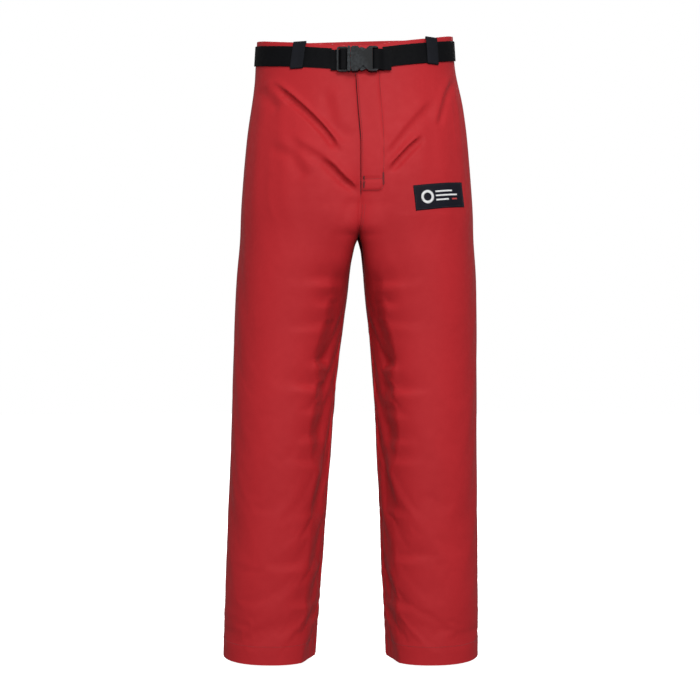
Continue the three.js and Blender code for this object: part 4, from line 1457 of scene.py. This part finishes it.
def stitchMesh(name, rows, material, size=stitch):
    # rows holds pairs of a line of points and its normals; without a pitch, one thread spans each row
    radius = size["radius"]
    points, faces = [], []
    ring = 6
    angles = np.arange(ring) * 2 * math.pi / ring
    profile = [(-0.5, 0.4, -0.9), (-0.3, 1.0, -0.1), (0.3, 1.0, -0.1), (0.5, 0.4, -0.9)]
    for line, normals in rows:
        lengths = lengthsAlong(line)
        count = max(1, int(lengths[-1] / (size["pitch"] * mm))) if "pitch" in size else 1
        length = size["length"] if "pitch" in size else lengths[-1] / mm
        for at in (np.arange(count) + 0.5) * lengths[-1] / count:
            place = np.array([np.interp(at, lengths, line[:, k]) for k in range(3)])
            ahead = np.array([np.interp(at + 0.5 * mm, lengths, line[:, k]) for k in range(3)])
            behind = np.array([np.interp(at - 0.5 * mm, lengths, line[:, k]) for k in range(3)])
            normal = np.array([np.interp(at, lengths, normals[:, k]) for k in range(3)])
            along = ahead - behind
            along /= max(np.linalg.norm(along), 1e-9)
            side = np.cross(along, normal)
            side /= max(np.linalg.norm(side), 1e-9)
            normal = np.cross(side, along)
            start = len(points)
            for share, wide, sunk in profile:
                centre = place + along * share * length * mm + normal * sunk * radius * mm
                around = np.cos(angles)[:, None] * side + np.sin(angles)[:, None] * normal
                points.extend(centre + around * wide * radius * mm)
            faces.extend((gridFaces(len(profile), ring, start, ring=True)).tolist())
            faces.append([start + k for k in range(ring)])
            faces.append([start + (len(profile) - 1) * ring + k for k in range(ring - 1, -1, -1)])
    piece = newPiece(name, np.array(points), faces, [material])
    tidyNormals(piece)
    return piece


def clothLine(name, shares, heights, lift=0.15):
    # a stitch line on one side's cloth
    return surfaceAt(name, np.asarray(shares, float), np.asarray(heights, float), lift)


def splitRows(lines, top, bottom):
    # keeps the parts of each line whose cloth heights lie between two values
    kept = []
    for name, shares, heights in lines:
        inside = (heights <= top) & (heights >= bottom)
        if inside.sum() > 3:
            kept.append(clothLine(name, shares[inside], heights[inside]))
    return kept


seamRows = {
    "side": [0.5 + 0.006, 0.5 + 0.018],
    "inseam": [1 - 0.008, 1 - 0.02],
    "seat": (0.009, 0.02),
    "hem": -1016,
}


def addSeamStitches(name):
    # double rows beside the side seam, the inseam and the seat seam, and one row round the hem
    column = np.linspace(cut["waistSeam"] - 1, cut["hem"] + 2, 700)
    lines = []
    for share in seamRows["side"]:
        lines.append((name, np.full(column.shape, share), column))
    legOnly = column[column < cut["crotch"] - 4]
    for share in seamRows["inseam"]:
        lines.append((name, np.full(legOnly.shape, share), legOnly))
    if name == "left":
        seat = column[column > cut["crotch"] + 6]
        front = seat[seat < seamShape["flyEnd"] - 22]
        for share in seamRows["seat"]:
            lines.append((name, np.full(front.shape, share), front))
            lines.append((name, np.full(seat.shape, 1 - share), seat))
    spans = {"upper": (-18, cut["pieceCut"]), "lower": (cut["pieceCut"], cut["hem"] + 2)}
    for part, (top, bottom) in spans.items():
        rows = splitRows(lines, top, bottom)
        piece = stitchMesh(f"{name}_seam_thread_{part}", rows, materials["redThread"])
        finishPiece(piece, bend=legBends(name)[part])
    onceRound = np.linspace(0, 1, 400)
    hemRows = [clothLine(name, onceRound, np.full(400, seamRows["hem"]))]
    piece = stitchMesh(f"{name}_hem_thread", hemRows, materials["redThread"])
    finishPiece(piece, body=f"{name}_shin")


def flyLine(xs, heights, lift=0.2):
    # a stitch line on the fly, given by millimetres beside the front seam
    shares = [shareBeside("left", x, height) for x, height in zip(xs, heights)]
    return clothLine("left", shares, heights, lift)


def addFlyStitches():
    # the row that holds the fly facing, the row across it, the row along the edge and two bar tacks
    inset, corner = flyStitch["inset"], seamShape["flyCorner"]
    bottom = seamShape["flyEnd"] + inset
    down = np.linspace(-19, bottom + corner, 200)
    side = stationValue(seamShape["flyWidth"], down) - inset
    turn = np.linspace(0, math.pi / 2, 20)[1:]
    cornerX = side[-1] - corner + corner * np.cos(turn)
    cornerHeights = bottom + corner - corner * np.sin(turn)
    back = np.linspace(side[-1] - corner, 3, 24)[1:]
    outlineX = np.concatenate([side, cornerX, back])
    outlineHeights = np.concatenate([down, cornerHeights, np.full(len(back), bottom)])
    edgeHeights = np.linspace(-19, bottom, 200)
    acrossX = np.linspace(3, side[-1], 40)
    lines = [
        flyLine(outlineX, outlineHeights),
        flyLine(acrossX, np.full(40, float(flyStitch["crossing"]))),
        flyLine(np.full(200, flyStitch["edge"]), edgeHeights),
    ]
    # the fly thread and the bar tacks are darker than the seam thread: their own deep red plus painted shade
    # for the stitched groove
    piece = stitchMesh("fly_thread", lines, materials["flyThreadPaintedShade"])
    finishPiece(piece, body="waist")
    tackHeights = np.linspace(*flyStitch["tack"], 26)
    zigzag = 1.2 * (np.arange(26) % 2 * 2 - 1)
    tacks = [flyLine(side[-1] + zigzag, tackHeights, 0.35), flyLine(4.2 + zigzag, tackHeights - 6, 0.35)]
    piece = stitchMesh("fly_bar_tacks", tacks, materials["flyThreadPaintedShade"], tackStitch)
    finishPiece(piece, body="waist")


def shareBeside(name, x, height):
    # where round one side the cloth lies some millimetres sideways of the front seam
    cloth = surface[name]
    row = int(np.argmin(np.abs(cloth["heights"] - height)))
    quarter = len(cloth["around"]) // 4
    line = np.abs(cloth["points"][row, :quarter, 0] - cloth["points"][row, 0, 0]) / mm
    return float(np.interp(x, line, cloth["around"][:quarter]))


# the patch on the wearer's left thigh, with a plain motif of a ring and three bars
labelPatch = {
    "width": 88,
    "height": 42,
    "turn": 7,
    "around": 0.24,
    "middle": -258,
    "middleX": 137,
    "middleZ": -261,
    "foreshortening": 0.9625,
    "proud": 0.8,
    "thickness": 1.0,
    "stitchInset": 2.2,
    "ring": {"x": -21, "up": 0, "outer": 11.5, "inner": 6.5},
    "bars": [
        {"x": 9, "up": 7.5, "length": 30},
        {"x": 13, "up": 0.5, "length": 38},
        {"x": 5, "up": -6.5, "length": 22},
    ],
    "barHeight": 3.2,
    "accent": {"x": 27, "up": -6.5, "length": 9},
    "threadStep": 0.75,  # from one thread of a bar to the next
    "threadTurn": 0.075,  # the same round the ring, in radians
    "threadLift": 0.12,
    "smoothAcross": (0.105, 0.14),  # behind the patch the cloth is smooth up to the first
    "smoothAlong": (26, 38),  # and keeps its wrinkles from the second
}


def labelPoint(x, up, proud):
    # x and up in millimetres on the patch, from its middle; finds the place on the cloth in front of it
    patch = labelPatch
    cloth = surface["left"]
    turn = math.radians(patch["turn"])
    wantedX = patch["middleX"] + patch["foreshortening"] * (x * math.cos(turn) - up * math.sin(turn))
    wantedZ = patch["middleZ"] + x * math.sin(turn) + up * math.cos(turn)
    share = patch["around"] + 0 * wantedX
    height = patch["middle"] + 0 * wantedX
    for _ in range(12):
        column = share * (len(cloth["around"]) - 1)
        row = np.interp(-height, -cloth["heights"], np.arange(len(cloth["heights"])))
        place, normal = smoothRead(cloth["soft"], cloth["softNormals"], row, column, proud)
        share = np.clip(share + (wantedX - place[..., 0] / mm) / 700, 0.02, 0.45)
        height = height + wantedZ - place[..., 2] / mm
    return place, normal


def smoothRead(points, normals, row, column, proud):
    r0 = np.clip(row.astype(int), 0, points.shape[0] - 2)
    c0 = np.clip(column.astype(int), 0, points.shape[1] - 2)
    fr, fc = (row - r0)[..., None], (column - c0)[..., None]
    corners = [(r0, c0, (1 - fr) * (1 - fc)), (r0, c0 + 1, (1 - fr) * fc),
               (r0 + 1, c0, fr * (1 - fc)), (r0 + 1, c0 + 1, fr * fc)]
    place = sum(points[r, c] * w for r, c, w in corners)
    normal = sum(normals[r, c] * w for r, c, w in corners)
    return place + normal * np.asarray(proud, float)[..., None] * mm, normal


def addLabel():
    patch = labelPatch
    x = np.linspace(-patch["width"] / 2, patch["width"] / 2, 61)[None, :] * np.ones((31, 1))
    up = np.linspace(patch["height"] / 2, -patch["height"] / 2, 31)[:, None] * np.ones((1, 61))
    edge = np.minimum(patch["width"] / 2 - np.abs(x), patch["height"] / 2 - np.abs(up))
    crown = patch["proud"] + patch["thickness"] * (0.55 + 0.45 * smoothStep(edge, 0, 1.6))
    sewn = 0.35 * np.exp(-(((edge - patch["stitchInset"]) / 0.9) ** 2))
    outer, _ = labelPoint(x, up, crown - sewn)
    inner, _ = labelPoint(x, up, np.full(x.shape, patch["proud"] * 0.6))
    piece = clothSheet("label_patch", outer, inner, None, [materials["labelCloth"]])
    finishPiece(piece, ["front_label_patch"], body="waist")
    top = patch["proud"] + patch["thickness"]
    inset = patch["stitchInset"]
    w, h = patch["width"] / 2 - inset, patch["height"] / 2 - inset
    corners = [(-w, h), (w, h), (w, -h), (-w, -h), (-w, h)]
    border = []
    for (ax, ay), (bx, by) in zip(corners[:-1], corners[1:]):
        t = np.linspace(0, 1, 50)
        border.append(labelPoint(ax + (bx - ax) * t, ay + (by - ay) * t, np.full(50, top - 0.3)))
    thread = stitchMesh("label_border_thread", border, materials["darkThread"], borderStitch)
    finishPiece(thread, body="waist")
    addLabelMotif(top)


def barThreads(bar, lift):
    # upright threads side by side along one bar
    half = labelPatch["barHeight"] / 2
    ends = np.array([bar["up"] - half, bar["up"] + half])
    start, end = bar["x"] - bar["length"] / 2, bar["x"] + bar["length"] / 2
    return [labelPoint(np.array([x, x]), ends, lift) for x in np.arange(start, end, labelPatch["threadStep"])]


def addLabelMotif(top):
    # satin stitching: many close threads laid side by side
    ring = labelPatch["ring"]
    lift = np.full(2, top + labelPatch["threadLift"])
    radius = np.array([ring["inner"], ring["outer"]])
    rows = []
    for angle in np.arange(0, 2 * math.pi, labelPatch["threadTurn"]):
        x = ring["x"] + radius * math.cos(angle)
        up = ring["up"] + radius * math.sin(angle)
        rows.append(labelPoint(x, up, lift))
    for bar in labelPatch["bars"]:
        rows.extend(barThreads(bar, lift))
    piece = stitchMesh("label_motif", rows, materials["whiteThread"], satinStitch)
    finishPiece(piece, body="waist")
    rows = barThreads(labelPatch["accent"], lift)
    piece = stitchMesh("label_accent", rows, materials["accentThread"], satinStitch)
    finishPiece(piece, body="waist")


# CAD nodes that keep their own shape, with softened edges
keptNodes = {
    "buckle_socket": {"material": "plastic", "slot": "buckle_plastic", "bevel": 0.55},
    "buckle_plug": {"material": "plastic", "slot": "buckle_plastic", "bevel": 0.45},
    "upper_prong": {"material": "plastic", "slot": "buckle_plastic", "bevel": 0.25},
    "lower_prong": {"material": "plastic", "slot": "buckle_plastic", "bevel": 0.25},
    "waist_snap_cap": {"material": "brass", "slot": "brass", "bevel": 0.3},
    "waist_snap_stud": {"material": "brass", "slot": "brass", "bevel": 0.25},
    "left_zip_tape": {"material": "zipTapeCloth", "slot": "zip_tape_cloth", "bevel": 0.0},
    "right_zip_tape": {"material": "zipTapeCloth", "slot": "zip_tape_cloth", "bevel": 0.0},
    "left_zip_teeth": {"material": "brass", "slot": "brass", "bevel": 0.15},
    "right_zip_teeth": {"material": "brass", "slot": "brass", "bevel": 0.15},
    "zip_bottom_stop": {"material": "brass", "slot": "brass", "bevel": 0.3},
    "zip_slider": {"material": "brass", "slot": "brass", "bevel": 0.35},
    "zip_pull": {"material": "brass", "slot": "brass", "bevel": 0.25},
}


softEdges = {"segments": 2, "sharpFrom": 35}  # corners of more degrees than this are softened


def dressKeptNodes():
    for node, finish in keptNodes.items():
        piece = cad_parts[node]
        for holder in piece.material_slots:
            holder.link = "OBJECT"
            holder.material = materials[finish["material"]]
        if finish["bevel"]:
            bevel = piece.modifiers.new("softEdges", "BEVEL")
            bevel.width = finish["bevel"] * mm
            bevel.segments = softEdges["segments"]
            bevel.limit_method = "ANGLE"
            bevel.angle_limit = math.radians(softEdges["sharpFrom"])
            bevel.harden_normals = False


# room and light
studio = {
    "floorHeight": -1.062,
    "floorRadius": 9.0,
    "floorShade": (0.9, 0.9, 0.9),
    "floorGlow": 1.0,
    "floorRoughness": 0.9,
    "above": (1.0, 1.0, 1.0),
    "aboveStrength": 0.4,
    "below": (0.6, 0.58, 0.58),
    "belowStrength": 0.35,
}
lamps = {
    "key": {
        "place": (0.6, -2.8, 1.7), "aim": (0, 0, -0.4), "size": (1.4, 1.2), "power": 57,
        "colour": (1, 0.985, 0.96),
    },
    "front": {
        "place": (0.1, -3.8, 0.0), "aim": (0, 0, -0.6), "size": (1.4, 1.8), "power": 48, "colour": (1, 1, 1),
    },
    "fillLeft": {
        "place": (2.4, -1.8, 0.2), "aim": (0, 0, -0.6), "size": (1.2, 1.8), "power": 3, "colour": (1, 1, 1),
    },
    "fillRight": {
        "place": (-2.4, -1.2, 0.0), "aim": (0, 0, -0.6), "size": (1.2, 1.8), "power": 3, "colour": (1, 1, 1),
    },
    "back": {
        "place": (0.4, 2.6, 1.6), "aim": (0, 0, -0.5), "size": (1.6, 1.2), "power": 60, "colour": (1, 1, 1),
    },
}


def makeStudio():
    data = bpy.data.meshes.new("floor")
    ring = [(studio["floorRadius"] * math.cos(a), studio["floorRadius"] * math.sin(a), studio["floorHeight"])
            for a in np.arange(0, 2 * math.pi, math.pi / 32)]
    data.from_pydata(ring, [], [list(range(len(ring)))])
    floor = bpy.data.objects.new("floor", data)
    scene.collection.objects.link(floor)
    material = bpy.data.materials.new("paleFloor")
    material.use_nodes = True
    shader = material.node_tree.nodes["Principled BSDF"]
    shader.inputs["Base Color"].default_value = (*studio["floorShade"], 1)
    shader.inputs["Roughness"].default_value = studio["floorRoughness"]
    shader.inputs["Specular IOR Level"].default_value = 0.0
    shader.inputs["Emission Color"].default_value = (1, 1, 1, 1)
    shader.inputs["Emission Strength"].default_value = studio["floorGlow"]
    data.materials.append(material)
    floor.visible_diffuse = False
    floor.visible_glossy = False
    world = bpy.data.worlds.new("studio")
    world.use_nodes = True
    scene.world = world
    tree = world.node_tree
    background = tree.nodes["Background"]
    coordinates = tree.nodes.new("ShaderNodeTexCoord")
    split = tree.nodes.new("ShaderNodeSeparateXYZ")
    put(tree, split.inputs[0], coordinates.outputs["Generated"])
    upward = rangeNode(tree, split.outputs[2], -0.35, 0.6)
    lit = mixColour(tree, upward, (*(c * studio["belowStrength"] for c in studio["below"]), 1),
                    (*(c * studio["aboveStrength"] for c in studio["above"]), 1))
    seen = tree.nodes.new("ShaderNodeLightPath").outputs["Is Camera Ray"]
    put(tree, background.inputs["Color"], mixColour(tree, seen, lit, (1, 1, 1, 1)))
    for name, lamp in lamps.items():
        light = bpy.data.lights.new(name, "AREA")
        light.shape = "RECTANGLE"
        light.size, light.size_y = lamp["size"]
        light.energy = lamp["power"]
        light.color = lamp["colour"]
        holder = bpy.data.objects.new(name, light)
        scene.collection.objects.link(holder)
        holder.location = lamp["place"]
        direction = Vector(lamp["aim"]) - holder.location
        holder.rotation_euler = direction.to_track_quat("-Z", "Y").to_euler()
    scene.view_settings.view_transform = "Standard"


makeStudio()
print("studio lit")

cutCloth = baseCloth()
settledCloth = relaxCloth(cutCloth)
surface = fineCloth(settledCloth)
cutGrids = {name: cutAsFlat(name) for name in sides}
print("cloth shaped")

for sideName in sides:
    addShell(sideName)
    addLining(sideName)
    addPads(sideName)
    addHem(sideName)
    addSeamStitches(sideName)
    print(sideName, "leg and hip sewn")

addFlyCloth()
addFlyStitches()
addWaistband()
addBelt()
addBeltLoops()
addWebbingFolds()
addLabel()
dressKeptNodes()
print("waist, belt, buckle and label in place")
